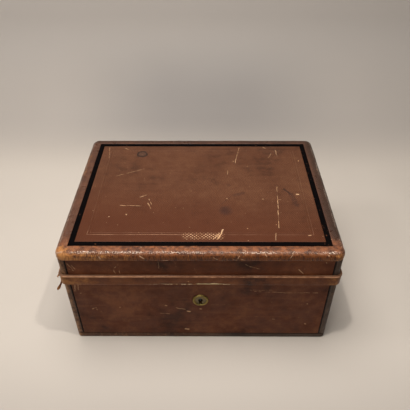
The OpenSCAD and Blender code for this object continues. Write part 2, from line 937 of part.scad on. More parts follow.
module lid_top_leather() {
    w = box_w - 2 * border_in - 2 * border_w;
    d = box_d - 2 * border_in - 2 * border_w;
    color(leather_brown) difference() {
        column(w, d, 0, total_h - leather_t, total_h);
        ring(w - 2 * fillet_in, d - 2 * fillet_in, 0, fillet_w, total_h - fillet_sink, total_h + 1);
    }
}

module lid_side_leathers() {
    color(leather_brown) difference() {
        for (side = ["front", "back", "left", "right"]) face_panel(side, lid_wall_z, roll_z);
        bevel_wedge(1, leather_t);
    }
}

module lid_corner_leathers() {
    color(leather_worn) difference() {
        corner_strips(lid_wall_z, roll_z);
        bevel_wedge(1, leather_t);
    }
}

module lid_rim_leather() {
    color(leather_brown) difference() {
        union() {
            difference() {
                rim_strip(lid_rim_z, lid_wall_z);
                bevel_wedge(1, 0);
            }
            intersection() {
                bevel_facing(1);
                column(box_w, box_d, corner_r, lid_rim_z, total_h);
            }
        }
        hinge_channels(channel_r);
        leaf_seats(lid_rim_z - 1, lid_wall_z + 1);
        link_block(link_t);
    }
}

// Where the band may be: all round above the hinge bevel, and off the back below it
module band_room() {
    block([-far, -far, base_h + band_back_z], [far, far, total_h]);
    block([-far, -far, 0], [far, axis_y - 1, total_h]);
}

band_top_z = base_h - band_drop + band_h;
band_low_z = base_h - band_drop;

module band_core_profile() {
    low_in = 0.3;
    top_in = 0.5;
    foot_z = lid_rim_z + 0.2;
    translate([band_gap, band_low_z + low_in]) square([core_t, band_h - low_in - top_in]);
    translate([0, foot_z]) square([band_gap + eps, band_top_z - top_in - foot_z]);
}

module lid_band_core() {
    color(brass) intersection() {
        sweep_round(corner_r) band_core_profile();
        band_room();
    }
}

module band_profile() {
    inner = band_gap + core_t;
    round_r = (band_t + bead_out) / 2;
    lip = 0.5;
    translate([inner, band_low_z]) square([band_t, band_h - round_r]);
    translate([inner + round_r, band_top_z - round_r]) circle(r = round_r, $fn = 48);
    translate([0, band_top_z - lip]) square([inner + round_r, lip]);
}

module lid_band() {
    color(leather_worn) difference() {
        intersection() {
            sweep_round(corner_r) band_profile();
            band_room();
        }
        block([worn_x0, -far, band_low_z - 1], [worn_x1, -half_d - band_gap, band_low_z + worn_h]);
    }
}

module link_block(h) {
    translate([-link_w / 2, bolt_y - link_d / 2, lid_rim_z]) cube([link_w, link_d, h]);
}

module at_link_screws() {
    for (sx = [-1, 1]) translate([sx * link_screw_x, bolt_y, lid_rim_z]) rotate([180, 0, 0]) children();
}

module link_plate() {
    color(brass) {
        difference() {
            link_block(link_t);
            at_link_screws() screw_body(leaf_screw_r, leaf_screw_len);
        }
        for (sx = [-1, 1]) translate([sx * staple_x, bolt_y, 0]) difference() {
            translate([-staple_t / 2, -staple_w / 2, lid_rim_z - staple_len])
                cube([staple_t, staple_w, staple_len + link_t / 2]);
            translate([-staple_t, -eye_w / 2, eye_z]) cube([2 * staple_t, eye_w, eye_h]);
        }
    }
}

module lid_screws() {
    color(brass) {
        at_leaf_screws(1) screw(leaf_screw_r, leaf_screw_len);
        at_link_screws() screw(leaf_screw_r, leaf_screw_len);
    }
}

module lid_lining() {
    color(satin_red) {
        column(bare_w, bare_d, 0, ceiling_z, roll_z);
        ring(bare_w, bare_d, 0, lining_t, lid_wall_z, ceiling_z);
    }
}

// Chamfered moulding with a rebate on its back that holds the glass
module mirror_frame() {
    z0 = ceiling_z - frame_t;
    color(leather_brown) difference() {
        column(mirror_w, mirror_d, frame_corner_r, z0, ceiling_z);
        column(mirror_w - 2 * frame_w, mirror_d - 2 * frame_w, 0, z0 - 1, ceiling_z);
        column(glass_w, glass_d, 0, ceiling_z - mirror_t, ceiling_z + 1);
    }
}

module mirror_glass() {
    color(silver) column(glass_w, glass_d, 0, ceiling_z - mirror_t, ceiling_z);
}

// Tray

module tray_boards() {
    color(velvet_red) {
        block([-tray_w / 2, tray_front, tray_z], [tray_w / 2, tray_front + tray_t, tray_top_z]);
        block([-tray_w / 2, tray_back - tray_t, tray_z], [tray_w / 2, tray_back, tray_top_z]);
        for (sx = [-1, 1]) difference() {
            block([min(sx * tray_w / 2, sx * tray_in_w / 2), tray_in_front, tray_z],
                  [max(sx * tray_w / 2, sx * tray_in_w / 2), tray_in_back, tray_top_z]);
            translate([sx * (tray_w - tray_t) / 2, (tray_front + tray_back) / 2, tray_top_z + notch_up])
                rotate([0, 90, 0]) cylinder(r = notch_r, h = tray_t + 2, center = true);
        }
    }
}

module tray_bottom() {
    color(wood_tan)
        block([-tray_in_w / 2, tray_in_front, tray_z], [tray_in_w / 2, tray_in_back, tray_floor_z]);
}

module tray_dividers() {
    color(velvet_red) {
        block([-tray_in_w / 2, long_divider_y, tray_floor_z],
              [tray_in_w / 2, long_divider_y + divider_t, divider_top_z]);
        for (sx = [-1, 1])
            block([sx * front_divider_x - divider_t / 2, tray_in_front, tray_floor_z],
                  [sx * front_divider_x + divider_t / 2, long_divider_y, divider_top_z]);
        block([rear_divider_x - divider_t / 2, long_divider_y + divider_t, tray_floor_z],
              [rear_divider_x + divider_t / 2, tray_in_back, divider_top_z]);
    }
}

// Floor cloth of one compartment
module compartment_cloth(x0, x1, y0, y1) {
    block([x0 + cloth_gap, y0 + cloth_gap, tray_floor_z],
          [x1 - cloth_gap, y1 - cloth_gap, tray_floor_z + velvet_t]);
}

module tray_velvet() {
    half = divider_t / 2;
    side = tray_in_w / 2;
    color(velvet_red) {
        compartment_cloth(-side, -front_divider_x - half, tray_in_front, long_divider_y);
        compartment_cloth(-front_divider_x + half, front_divider_x - half, tray_in_front, long_divider_y);
        compartment_cloth(front_divider_x + half, side, tray_in_front, long_divider_y);
        compartment_cloth(-side, rear_divider_x - half, long_divider_y + divider_t, tray_in_back);
        compartment_cloth(rear_divider_x + half, side, long_divider_y + divider_t, tray_in_back);
    }
}

// Stuffed roll along Y with a crown in the middle, pressed flat where it lies
module ring_roll(len) {
    r = ring_roll_w / 2;
    crown = 0.9;
    flat = 0.8;
    steps = 8;
    bow = [for (i = [0:steps]) [r - crown * pow(2 * i / steps - 1, 2), len * i / steps]];
    intersection() {
        translate([0, 0, r - flat]) rotate([-90, 0, 0]) rotate_extrude($fn = 48)
            polygon(concat([[0, 0]], bow, [[0, len]]));
        translate([-r, 0, 0]) cube([2 * r, len, 2 * r]);
    }
}

module ring_rolls() {
    x0 = rear_divider_x + divider_t / 2;
    pitch = (tray_in_w / 2 - x0) / ring_rolls_n;
    y0 = long_divider_y + divider_t;
    end_gap = 0.3;
    color(velvet_red) for (i = [0:ring_rolls_n - 1])
        translate([x0 + (i + 0.5) * pitch, y0 + end_gap, tray_floor_z + velvet_t])
            ring_roll(rear_comp_d - 2 * end_gap);
}

// Jars and bottles

module jar_at(sx) {
    color(glass_clear) translate([sx * jar_x, cell_y, riser_z]) difference() {
        rotate_extrude() {
            difference() {
                square([jar_r, jar_h - jar_neck_h]);
                polygon([[jar_r - foot_bevel, 0], [jar_r - foot_bevel, -1], [jar_r + 1, -1],
                         [jar_r + 1, foot_bevel], [jar_r, foot_bevel]]);
            }
            square([jar_neck_r, jar_h]);
        }
        translate([0, 0, glass_base_t]) cylinder(r = jar_r - glass_t - flute_cut, h = jar_h);
        for (i = [0:flutes_n - 1]) rotate([0, 0, i * 360 / flutes_n])
            translate([jar_r + flute_r - flute_cut, 0, flute_foot])
                cylinder(r = flute_r, h = jar_h - flute_foot - flute_top);
    }
}

module jar_lid_at(sx) {
    skirt_h = cap_h - 2 * lid_step_h;
    color(silver) translate([sx * jar_x, cell_y, riser_z + jar_h - jar_neck_h]) rotate_extrude() {
        difference() {
            square([jar_r + bead_in, skirt_h]);
            translate([-1, -1]) square([jar_neck_r + cap_gap + 1, jar_neck_h + cap_lift + 1]);
        }
        translate([0, skirt_h]) square([jar_r - lid_step_in, lid_step_h]);
        translate([0, skirt_h + lid_step_h]) square([jar_r - lid_dome_in, lid_step_h]);
        translate([jar_r - bead_in, bead_r]) circle(r = bead_r, $fn = 32);
    }
}

module left_jar() {
    jar_at(-1);
}

module right_jar() {
    jar_at(1);
}

module left_jar_lid() {
    jar_lid_at(-1);
}

module right_jar_lid() {
    jar_lid_at(1);
}

module bottle_at(sx) {
    half = bottle_w / 2;
    cut = half - bottle_chamfer;
    inner = half - glass_t;
    color(glass_clear) translate([sx * bottle_x, cell_y, riser_z]) difference() {
        union() {
            linear_extrude(bottle_h) polygon([
                [-cut, -half], [cut, -half], [half, -cut], [half, cut],
                [cut, half], [-cut, half], [-half, cut], [-half, -cut]]);
            cylinder(r = neck_r, h = bottle_h + neck_h);
            translate([0, 0, bottle_h]) cylinder(r1 = half - shoulder_in, r2 = neck_r, h = shoulder_h);
        }
        translate([-inner, -inner, glass_base_t])
            cube([2 * inner, 2 * inner, bottle_h - glass_base_t - glass_t]);
        translate([0, 0, 2 * glass_base_t]) cylinder(r = neck_r - glass_t, h = bottle_h + neck_h);
    }
}

module bottle_cap_at(sx) {
    r = neck_r + cap_wall;
    lift = shoulder_h + cap_lift;
    color(silver) translate([sx * bottle_x, cell_y, riser_z + bottle_h + lift]) rotate_extrude() {
        difference() {
            square([r, cap_h]);
            translate([-1, -1]) square([neck_r + cap_gap + 1, neck_h - lift + 1]);
            polygon([[r - cap_bevel, cap_h], [r - cap_bevel, cap_h + 1], [r + 1, cap_h + 1],
                     [r + 1, cap_h - cap_bevel], [r, cap_h - cap_bevel]]);
        }
        translate([r - bead_in, bead_r]) circle(r = bead_r, $fn = 32);
    }
}

module left_bottle() {
    bottle_at(-1);
}

module right_bottle() {
    bottle_at(1);
}

module left_bottle_cap() {
    bottle_cap_at(-1);
}

module right_bottle_cap() {
    bottle_cap_at(1);
}

bottom_board();
front_wall();
back_wall();
left_wall();
right_wall();
front_leather();
back_leather();
left_leather();
right_leather();
corner_leathers();
foot_edging();
underside_leather();
rim_leather();
escutcheon();
lock_plate();
drill_pin();
lock_spring();
lock_bolt();
hinge_base_leaves();
hinge_pins();
case_screws();
floor_lining();
wall_lining();
row_partition();
cell_partitions();
cell_risers();
tray_ledges();
lid_top_board();
lid_front_wall();
lid_back_wall();
lid_left_wall();
lid_right_wall();
lid_top_leather();
lid_black_border();
lid_edge_leather();
lid_side_leathers();
lid_corner_leathers();
lid_rim_leather();
lid_band();
lid_band_core();
link_plate();
hinge_lid_leaves();
lid_screws();
lid_lining();
mirror_frame();
mirror_glass();
tray_boards();
tray_bottom();
tray_dividers();
tray_velvet();
ring_rolls();
left_jar();
left_jar_lid();
right_jar();
right_jar_lid();
left_bottle();
left_bottle_cap();
right_bottle();
right_bottle_cap();
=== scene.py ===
# %% [markdown]
# # A leather dressing box, dressed in Blender
# The solids of the box come from a CAD model: wooden case, leather panels, lock, hinges, tray, jars and bottles.
# This lesson puts the finish on them. Pieces whose shape is right keep their CAD mesh and get a material.
# Pieces that are soft, worn or frayed are built again here, in metres, in the same frame as the CAD.

# %% Load the frame
import math
from functools import partialmethod

import bpy
from mathutils import Matrix, Vector, noise


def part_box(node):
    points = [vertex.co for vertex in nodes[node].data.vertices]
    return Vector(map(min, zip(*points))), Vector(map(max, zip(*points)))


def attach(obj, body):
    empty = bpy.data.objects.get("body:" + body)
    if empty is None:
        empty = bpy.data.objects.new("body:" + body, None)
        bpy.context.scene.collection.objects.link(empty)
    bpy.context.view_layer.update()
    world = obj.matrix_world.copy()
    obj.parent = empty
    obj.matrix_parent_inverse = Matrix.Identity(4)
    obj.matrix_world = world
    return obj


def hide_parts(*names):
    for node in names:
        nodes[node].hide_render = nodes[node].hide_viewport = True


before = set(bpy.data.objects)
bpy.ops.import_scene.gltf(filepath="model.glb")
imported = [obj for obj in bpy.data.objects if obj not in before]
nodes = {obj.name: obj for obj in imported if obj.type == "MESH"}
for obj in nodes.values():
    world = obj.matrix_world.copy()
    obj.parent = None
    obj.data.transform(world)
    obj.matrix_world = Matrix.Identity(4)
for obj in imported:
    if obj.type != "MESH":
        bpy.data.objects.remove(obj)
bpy.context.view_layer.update()  # the meshes now stand in the frame's own coordinates

# %% [markdown]
# ## Camera
# The photograph looks down at about 39 degrees from a little over half a metre away. The camera's place and angles
# were solved from the straight edges of the real box, so the render can be laid beside the photograph.

# %% Camera
MM = 0.001
CAMERA_AT = Vector((8.53, -449.85, 485.02)) * MM
PITCH, YAW, ROLL = (math.radians(a) for a in (39.31, -0.50, -0.24))


def camera_axes():
    turn = Matrix.Rotation(YAW, 3, "Z")
    look_down = Matrix(((1, 0, 0), (0, -math.sin(PITCH), -math.cos(PITCH)), (0, math.cos(PITCH), -math.sin(PITCH))))
    right, down, ahead = Matrix.Rotation(ROLL, 3, "Z") @ look_down @ turn
    return Matrix((right, -down, -ahead)).transposed()


camera_data = bpy.data.cameras.new("camera")
camera_data.lens, camera_data.sensor_width = 40.97, 36.0
camera_data.clip_start = 0.01
camera = bpy.data.objects.new("camera", camera_data)
camera.matrix_world = Matrix.Translation(CAMERA_AT) @ camera_axes().to_4x4()
bpy.context.collection.objects.link(camera)
bpy.context.scene.camera = camera
bpy.context.scene.view_settings.view_transform = "Standard"

# %% [markdown]
# ## Ways to write a shader
# A material is a graph of shader nodes. A small class keeps the graphs readable: it adds a node and joins its inputs
# in one line, with short names for the sums used most. A function opens a node group with named sockets, so that
# an effect is built once and used in many materials.


# %% Shader helpers
def srgb(r, g, b):
    """A colour as seen on a screen, 0 to 255, as the linear values that a shader takes."""
    return [((c / 255 + 0.055) / 1.055) ** 2.4 if c > 10 else c / 255 / 12.92 for c in (r, g, b)] + [1.0]


class Graph:
    """Adds nodes to a node tree: an input is a socket to join or a plain value."""

    def __init__(self, tree):
        self.tree = tree

    def give(self, socket, value):
        """Joins an output to an input, or sets the input's own value."""
        if isinstance(value, bpy.types.NodeSocket):
            self.tree.links.new(value, socket)
        else:
            socket.default_value = value

    def add(self, kind, inputs=None, **settings):
        node = self.tree.nodes.new("ShaderNode" + kind)
        for key, value in settings.items():
            setattr(node, key, value)
        for key, value in (inputs or {}).items():
            self.give(node.inputs[key], value)
        return node

    def math(self, operation, a, b=0.0, clamp=False):
        return self.add("Math", {0: a, 1: b}, operation=operation, use_clamp=clamp).outputs[0]

    plus, minus = partialmethod(math, "ADD"), partialmethod(math, "SUBTRACT")
    times, most = partialmethod(math, "MULTIPLY"), partialmethod(math, "MAXIMUM")

    def vector(self, operation, a, b=(0, 0, 0), out="Vector"):
        return self.add("VectorMath", {0: a, 1: b}, operation=operation).outputs[out]

    def scale(self, vector, factor):
        return self.add("VectorMath", {0: vector, "Scale": factor}, operation="SCALE").outputs["Vector"]

    def split(self, vector):
        return self.add("SeparateXYZ", {"Vector": vector}).outputs

    def ramp(self, value, low, high, to_low=0.0, to_high=1.0, smooth=True):
        kind = "SMOOTHSTEP" if smooth else "LINEAR"
        inputs = {"Value": value, "From Min": low, "From Max": high, "To Min": to_low, "To Max": to_high}
        return self.add("MapRange", inputs, interpolation_type=kind).outputs["Result"]

    def mix(self, share, a, b):
        """A mix of two colours: a tuple is red, green and blue as seen on a screen."""
        a, b = (srgb(*color) if isinstance(color, tuple) else color for color in (a, b))
        return self.add("Mix", {0: share, 6: a, 7: b}, data_type="RGBA").outputs[2]

    def noise(self, vector, scale, detail=3.0, roughness=0.55, out="Fac"):
        inputs = {"Vector": vector, "Scale": scale, "Detail": detail, "Roughness": roughness}
        return self.add("TexNoise", inputs).outputs[out]

    def clouds(self, vector, scale, detail, low, high):
        """A noise that drifts between two values."""
        return self.ramp(self.noise(vector, scale, detail), 0.3, 0.7, low, high)

    def shaken(self, vector, scale, size):
        """The vector pushed about by a noise, by up to half of size."""
        push = self.vector("SUBTRACT", self.noise(vector, scale, 3, out="Color"), (0.5, 0.5, 0.5))
        return self.vector("ADD", vector, self.scale(push, size))

    def crossed_waves(self, vector, angle, scale, distortion):
        """Two wave textures turned to both sides, as the two ways in which lines cross."""
        waves = []
        for turn in (angle, -angle):
            turned = self.add("Mapping", {"Vector": vector, "Rotation": (0, 0, turn)}).outputs[0]
            inputs = {"Vector": turned, "Scale": scale, "Distortion": distortion, "Detail": 1.0}
            waves.append(self.add("TexWave", inputs).outputs["Fac"])
        return self.times(*waves)


def open_group(name, inputs, outputs):
    """A new shader group: inputs are (name, kind, value) and outputs (name, kind)."""
    tree = bpy.data.node_groups.new(name, "ShaderNodeTree")
    for label, kind, value in inputs:
        socket = tree.interface.new_socket(label, in_out="INPUT", socket_type="NodeSocket" + kind)
        if value is not None:
            socket.default_value = value
    for label, kind in outputs:
        tree.interface.new_socket(label, in_out="OUTPUT", socket_type="NodeSocket" + kind)
    graph = Graph(tree)
    start = tree.nodes.new("NodeGroupInput")
    end = tree.nodes.new("NodeGroupOutput")
    return graph, start.outputs, end.inputs


def use_group(graph, name, **inputs):
    """Places a group in a material and gives it its inputs."""
    return graph.add("Group", inputs, node_tree=bpy.data.node_groups[name]).outputs


# %% [markdown]
# ## Grain of the leather
# The cover is calf with a grain rolled into it in two crossing directions, and between the lines the skin's own
# pores show. Two slanted wave textures make the crossing lines and a cell texture makes the pebbles. It could be
# modelled, but a grain of one millimetre over the whole box would need millions of faces, so it is a bump.

# %% Group: leather grain
g, start, end = open_group(
    "Leather grain",
    [("Vector", "Vector", None), ("Cross", "Float", 0.5), ("Pebble", "Float", 0.5)],
    [("Height", "Float"), ("Tips", "Float")],
)
bent = g.vector("ADD", start["Vector"], g.scale(g.noise(start["Vector"], 0.25, 2, out="Color"), 1.2))
lattice = g.crossed_waves(bent, 0.62, 0.19, 0.6)
cells = g.add("TexVoronoi", {"Vector": bent, "Scale": 1.1}, feature="SMOOTH_F1").outputs["Distance"]
fine = g.noise(start["Vector"], 2.4, 4)
pebbles = g.plus(g.ramp(cells, 0.0, 0.6, 1.0, 0.0), g.times(fine, 0.5))
crossed = g.times(lattice, start["Cross"])
total = g.plus(crossed, g.times(pebbles, start["Pebble"]))
g.give(end["Height"], total)
g.give(end["Tips"], g.ramp(lattice, 0.35, 0.7))

# %% [markdown]
# ## Drift of tone
# Old leather is never one colour. Handling, light and polish leave broad clouds of a lighter and a darker brown, and
# small mottles inside them. Three colours are mixed by two noises, one as large as a hand and one as a fingertip.
# A third noise is stretched along the box and lays lighter streaks, and a fine one lays dark dots.

# %% Group: tone drift
g, start, end = open_group(
    "Tone drift",
    [("Vector", "Vector", None), ("Dark", "Color", srgb(60, 35, 25)), ("Middle", "Color", srgb(90, 55, 40)),
     ("Light", "Color", srgb(120, 80, 60)), ("Streak", "Float", 0.3)],
    [("Color", "Color")],
)
broad = g.noise(start["Vector"], 0.016, 2)
small = g.noise(start["Vector"], 0.09, 4, 0.6)
stretched = g.vector("MULTIPLY", start["Vector"], (0.01, 0.16, 0.16))
streak = g.noise(stretched, 1.0, 3)
share = g.plus(g.times(broad, 0.55), g.times(small, 0.45))
tone = g.mix(g.ramp(share, 0.34, 0.5), start["Dark"], start["Middle"])
tone = g.mix(g.ramp(share, 0.48, 0.68), tone, start["Light"])
streaked = g.times(g.ramp(streak, 0.5, 0.75), start["Streak"])
tone = g.mix(streaked, tone, start["Light"])
dots = g.noise(start["Vector"], 0.9, 3, 0.6)
tone = g.mix(g.ramp(dots, 0.3, 0.75, 0.0, 0.35), tone, start["Dark"])
g.give(end["Color"], tone)

# %% [markdown]
# ## Rubbed places
# Where hands and tables rub, the brown top coat goes first from the tips of the grain, then from whole patches, and
# the tan skin shows. A mesh says how much each point is rubbed, in an attribute named wear, and a noise breaks
# that up. More wear lowers the threshold, so patches grow and join as they do on the real skin.

# %% Group: rubbed
g, start, end = open_group(
    "Rubbed",
    [("Vector", "Vector", None), ("Wear", "Float", 0.0), ("Scale", "Float", 0.35), ("Hardness", "Float", 0.5)],
    [("Mask", "Float")],
)
patches = g.noise(start["Vector"], start["Scale"], 5, 0.68)
grains = g.noise(start["Vector"], 1.6, 2, 0.5)
level = g.plus(g.times(patches, 0.7), g.times(grains, 0.3))
excess = g.minus(g.plus(level, start["Wear"]), 1.0)
width = g.ramp(start["Hardness"], 0.0, 1.0, 0.3, 0.03, smooth=False)
mask = g.math("DIVIDE", excess, width, clamp=True)
g.give(end["Mask"], mask)

# %% [markdown]
# ## Scratches, specks and stains
# A scratch is a short line: its mask is the distance to a segment, measured from a shaken point. A speck is the
# middle of a cell of a Voronoi texture, kept only for some cells. A stain is a distance from its middle, bent alike.
# They could be painted, but formulas stay sharp at any size and need no picture.

# %% Group: scratch
g, start, end = open_group(
    "Scratch",
    [("Vector", "Vector", None), ("Breaks", "Float", 1.0), ("From", "Vector", None), ("To", "Vector", None),
     ("Width", "Float", 0.6), ("Broken", "Float", 0.3), ("Strength", "Float", 1.0)],
    [("Mask", "Float")],
)
along = g.vector("SUBTRACT", start["To"], start["From"])
away = g.vector("SUBTRACT", start["Vector"], start["From"])
share = g.math("DIVIDE", g.vector("DOT_PRODUCT", away, along, "Value"),
               g.vector("DOT_PRODUCT", along, along, "Value"), clamp=True)
distance = g.vector("DISTANCE", away, g.scale(along, share), "Value")
line = g.ramp(distance, g.times(start["Width"], 0.35), start["Width"], 1.0, 0.0)
gaps = g.ramp(start["Breaks"], start["Broken"], g.plus(start["Broken"], 0.12))
g.give(end["Mask"], g.times(line, g.times(gaps, start["Strength"])))

# %% Group: specks
g, start, end = open_group(
    "Specks",
    [("Vector", "Vector", None), ("Scale", "Float", 0.1), ("Share", "Float", 0.3), ("Size", "Float", 0.15)],
    [("Mask", "Float")],
)
spot = g.add("TexVoronoi", {"Vector": g.shaken(start["Vector"], 0.5, 3.0), "Scale": start["Scale"]}).outputs
pick = g.add("SeparateColor", {"Color": spot["Color"]}).outputs
kept = g.math("LESS_THAN", pick["Red"], start["Share"])
size = g.times(start["Size"], g.ramp(pick["Green"], 0.0, 1.0, 0.4, 1.2, smooth=False))
dot = g.minus(1.0, g.math("DIVIDE", spot["Distance"], size, clamp=True), clamp=True)
g.give(end["Mask"], g.times(g.ramp(dot, 0.0, 0.35), kept))

# %% Group: stain
g, start, end = open_group(
    "Stain",
    [("Vector", "Vector", None), ("Middle", "Vector", None), ("Radius", "Float", 5.0), ("Edge", "Float", 2.0)],
    [("Mask", "Float"), ("Ring", "Float")],
)
distance = g.vector("DISTANCE", g.shaken(start["Vector"], 0.15, 6.0), start["Middle"], "Value")
inside = g.ramp(g.minus(start["Radius"], distance), g.times(start["Edge"], -0.5),
                g.times(start["Edge"], 0.5))
off_line = g.math("ABSOLUTE", g.minus(distance, start["Radius"]))
ring = g.minus(1.0, g.ramp(off_line, 0.0, g.times(start["Edge"], 0.6)))
g.give(end["Mask"], inside)
g.give(end["Ring"], ring)


# %% [markdown]
# ## Starting a material
# Every material here works in millimetres on the object's own coordinates, which are the frame's. That keeps a grain
# the same size on every piece, and lets a mark be put at a measured place.


# %% Material helper
def start_material(name):
    """A material with its Principled shader and its coordinates in millimetres."""
    material = bpy.data.materials.new(name)
    material.use_nodes = True
    graph = Graph(material.node_tree)
    shader = next(n for n in material.node_tree.nodes if n.type == "BSDF_PRINCIPLED")
    place = graph.add("TexCoord").outputs["Object"]
    return material, graph, shader, graph.vector("MULTIPLY", place, (1000, 1000, 1000))


def join(graph, shader, color, roughness, height, bump_mm, specular=None):
    """Joins the colour, roughness and a bump whose height is in millimetres, and sets the specular level."""
    bump = graph.add("Bump", {"Height": height, "Distance": bump_mm * MM, "Strength": 1.0})
    for name, value in (("Base Color", color), ("Roughness", roughness), ("Normal", bump.outputs[0])):
        graph.give(shader.inputs[name], value)
    if specular is not None:
        shader.inputs["Specular IOR Level"].default_value = specular


def wear_of(graph):
    return graph.add("Attribute", attribute_name="wear").outputs["Fac"]


def tones(g, mm, dark, middle, light, streak=0.5):
    """The drift between three tones, each as seen on a screen."""
    return use_group(g, "Tone drift", Vector=mm, Dark=srgb(*dark), Middle=srgb(*middle), Light=srgb(*light),
                     Streak=streak)["Color"]


def grain_of(g, mm, cross, pebble):
    return use_group(g, "Leather grain", Vector=mm, Cross=cross, Pebble=pebble)


def specks(g, mm, scale, share, size):
    return use_group(g, "Specks", Vector=mm, Scale=scale, Share=share, Size=size)["Mask"]


def rubbed(g, mm, wear, scale, hardness):
    return use_group(g, "Rubbed", Vector=mm, Wear=wear, Scale=scale, Hardness=hardness)["Mask"]


def beyond_faces(g, mm):
    """How far a point lies outside the nearest of the four upright faces, below 0 inside."""
    far = g.split(g.vector("SUBTRACT", g.vector("ABSOLUTE", mm), (HALF_W, HALF_D, 0)))
    return g.most(far["X"], far["Y"])


# %% [markdown]
# ## Brown leather of the panels
# Calf stained brown and polished with wax: a satin sheen, darker on the upright faces where nobody wiped it. Small
# scratches cut through to the tan skin. One function makes the panel leather, and each material passes its own tones
# and its own measured scratches. A scratch is written as start, end, width, how broken it is and its strength.

# %% Leather material
TAN, PALE = (196, 146, 94), (206, 168, 134)


def on_face(place, rows):
    """Marks from rows of two points on a face, width, gaps and strength: place puts such a point in space."""
    return [(place(a, b), place(c, d), *rest) for a, b, c, d, *rest in rows]


def add_scratches(g, mm, marks):
    """The strongest of all the scratches at each point. One shaken vector and one noise for the gaps serve all."""
    shaken = g.shaken(mm, 0.14, 3.0)
    breaks = g.noise(shaken, 0.8, 2)
    total = None
    for begin, finish, width, broken, strength in marks:
        one = use_group(g, "Scratch", Vector=shaken, Breaks=breaks, From=begin, To=finish, Width=width * 0.8,
                        Broken=broken, Strength=strength)["Mask"]
        total = one if total is None else g.most(total, one)
    return total


def leather(name, dark, middle, light, marks):
    material, g, shader, mm = start_material(name)
    color = tones(g, mm, dark, middle, light)
    grain = grain_of(g, mm, 0.3, 0.5)
    color = g.mix(g.times(grain["Tips"], 0.12), color, light)
    dents = add_scratches(g, mm, marks)
    for scale, size, amount in ((0.075, 0.07, 0.55), (0.2, 0.1, 0.3)):
        fleck = specks(g, mm, scale, 0.12, size)
        dents = g.most(dents, g.times(fleck, amount))
    color = g.mix(dents, color, g.mix(g.noise(mm, 0.1, 2), TAN, PALE))
    waves = g.times(g.noise(mm, 0.05, 3), 3.0)
    height = g.plus(g.minus(grain["Height"], dents), waves)
    rough = g.clouds(mm, 0.05, 4, 0.38, 0.58)
    join(g, shader, color, g.plus(rough, g.times(dents, 0.2)), height, 0.16, specular=0.14)
    return material


# %% [markdown]
# ## Building a worn skin
# Two pieces run right round the box: the rolled edge and the covering band. Each is one profile swept round a
# rectangle with round corners. The sweep is written as a grid of stations and profile points, so the mesh is closed,
# evenly divided and easy to dent. A modifier could sweep too, but then no station could have its own profile.

# %% Sweep round the box
RIGHT, BACK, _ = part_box("bottom_board")[1] / MM
SKIN = 1.2
HALF_W = round(RIGHT + SKIN, 3)
HALF_D = round(BACK + SKIN, 3)
print("half width and depth over the leather:", HALF_W, HALF_D)


def stations(step, corner_steps):
    """Stops round the box, anticlockwise from the front's left end: (side or corner, its number, share of it)."""
    stops = []
    for number in range(4):
        length = 2 * (HALF_W if number % 2 == 0 else HALF_D)
        count = int(length / step)
        stops += [("side", number, i / count) for i in range(count + 1)]
        stops += [("corner", number, i / corner_steps) for i in range(1, corner_steps)]
    return stops


def place_at(stop, out, corner_r):
    """The point that lies that far outside the face at a stop."""
    kind, number, share = stop
    radius = max(corner_r + out, 0.05)
    cx, cy = HALF_W + out - radius, HALF_D + out - radius
    if kind == "side":
        straight = {0: ((-cx, -cy - radius), (cx, -cy - radius)), 1: ((cx + radius, -cy), (cx + radius, cy)),
                    2: ((cx, cy + radius), (-cx, cy + radius)), 3: ((-cx - radius, cy), (-cx - radius, -cy))}
        (x0, y0), (x1, y1) = straight[number]
        return Vector((x0 + (x1 - x0) * share, y0 + (y1 - y0) * share))
    centre = ((cx, -cy), (cx, cy), (-cx, cy), (-cx, -cy))[number]
    a = math.radians(-90 + 90 * number + 90 * share)
    return Vector((centre[0] + radius * math.cos(a), centre[1] + radius * math.sin(a)))


def make_mesh(name, points_mm, faces, wear=None, smooth_angle=40):
    """A mesh object from points in millimetres, shaded smooth up to an angle, with its wear as an attribute."""
    mesh = bpy.data.meshes.new(name)
    mesh.from_pydata([tuple(c * MM for c in p) for p in points_mm], [], faces)
    mesh.validate()
    mesh.shade_smooth()
    mesh.set_sharp_from_angle(angle=math.radians(smooth_angle))
    if wear is not None:
        attribute = mesh.attributes.new("wear", "FLOAT", "POINT")
        attribute.data.foreach_set("value", wear)
    made = bpy.data.objects.new(name, mesh)
    bpy.context.collection.objects.link(made)
    print(name, len(mesh.vertices), "points", len(mesh.polygons), "faces")
    return made


def sweep(name, stops, corner_r, profile_at, wear_at):
    """Sweeps a closed profile round the box. profile_at gives (out, z) points for a stop, always as many."""
    points, wear = [], []
    for stop in stops:
        for out, z in profile_at(stop):
            flat = place_at(stop, out, corner_r)
            points.append((flat.x, flat.y, z))
            wear.append(wear_at(flat.x, flat.y, z))
    n, per = len(stops), len(points) // len(stops)
    faces = []
    for i in range(n):
        j = (i + 1) % n
        faces += [(i * per + k, j * per + k, j * per + (k + 1) % per, i * per + (k + 1) % per) for k in range(per)]
    return make_mesh(name, points, faces, wear)


def wander(x, y, z, size, seed=0.0):
    """Smooth noise from -1 to 1 that changes over about size millimetres."""
    return noise.noise(Vector((x / size + seed, y / size - seed, z / size + 2 * seed)))


def rise(value, low, high):
    """0 below low, 1 above high, and smooth between."""
    t = min(max((value - low) / (high - low), 0.0), 1.0)
    return t * t * (3 - 2 * t)


# %% [markdown]
# ## The rolled edge of the lid
# A skin of thin leather is drawn over the moulded edge of the lid's board. It is the most handled part of the box, so
# its front edge is rubbed to tan, most of all at the two front corners, and its lower edge is nicked. The skin
# follows the CAD solid's section and gets small dents along its length.

# %% Rolled edge
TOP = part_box("lid_top_leather")[1].z / MM
ROLL_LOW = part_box("lid_edge_leather")[0].z / MM
BORDER_IN = 11.0
ROLL_OUT, ROLL_R, ROLL_CORNER = 1.4, 6.0, 8.0
ARC_STEPS = 9


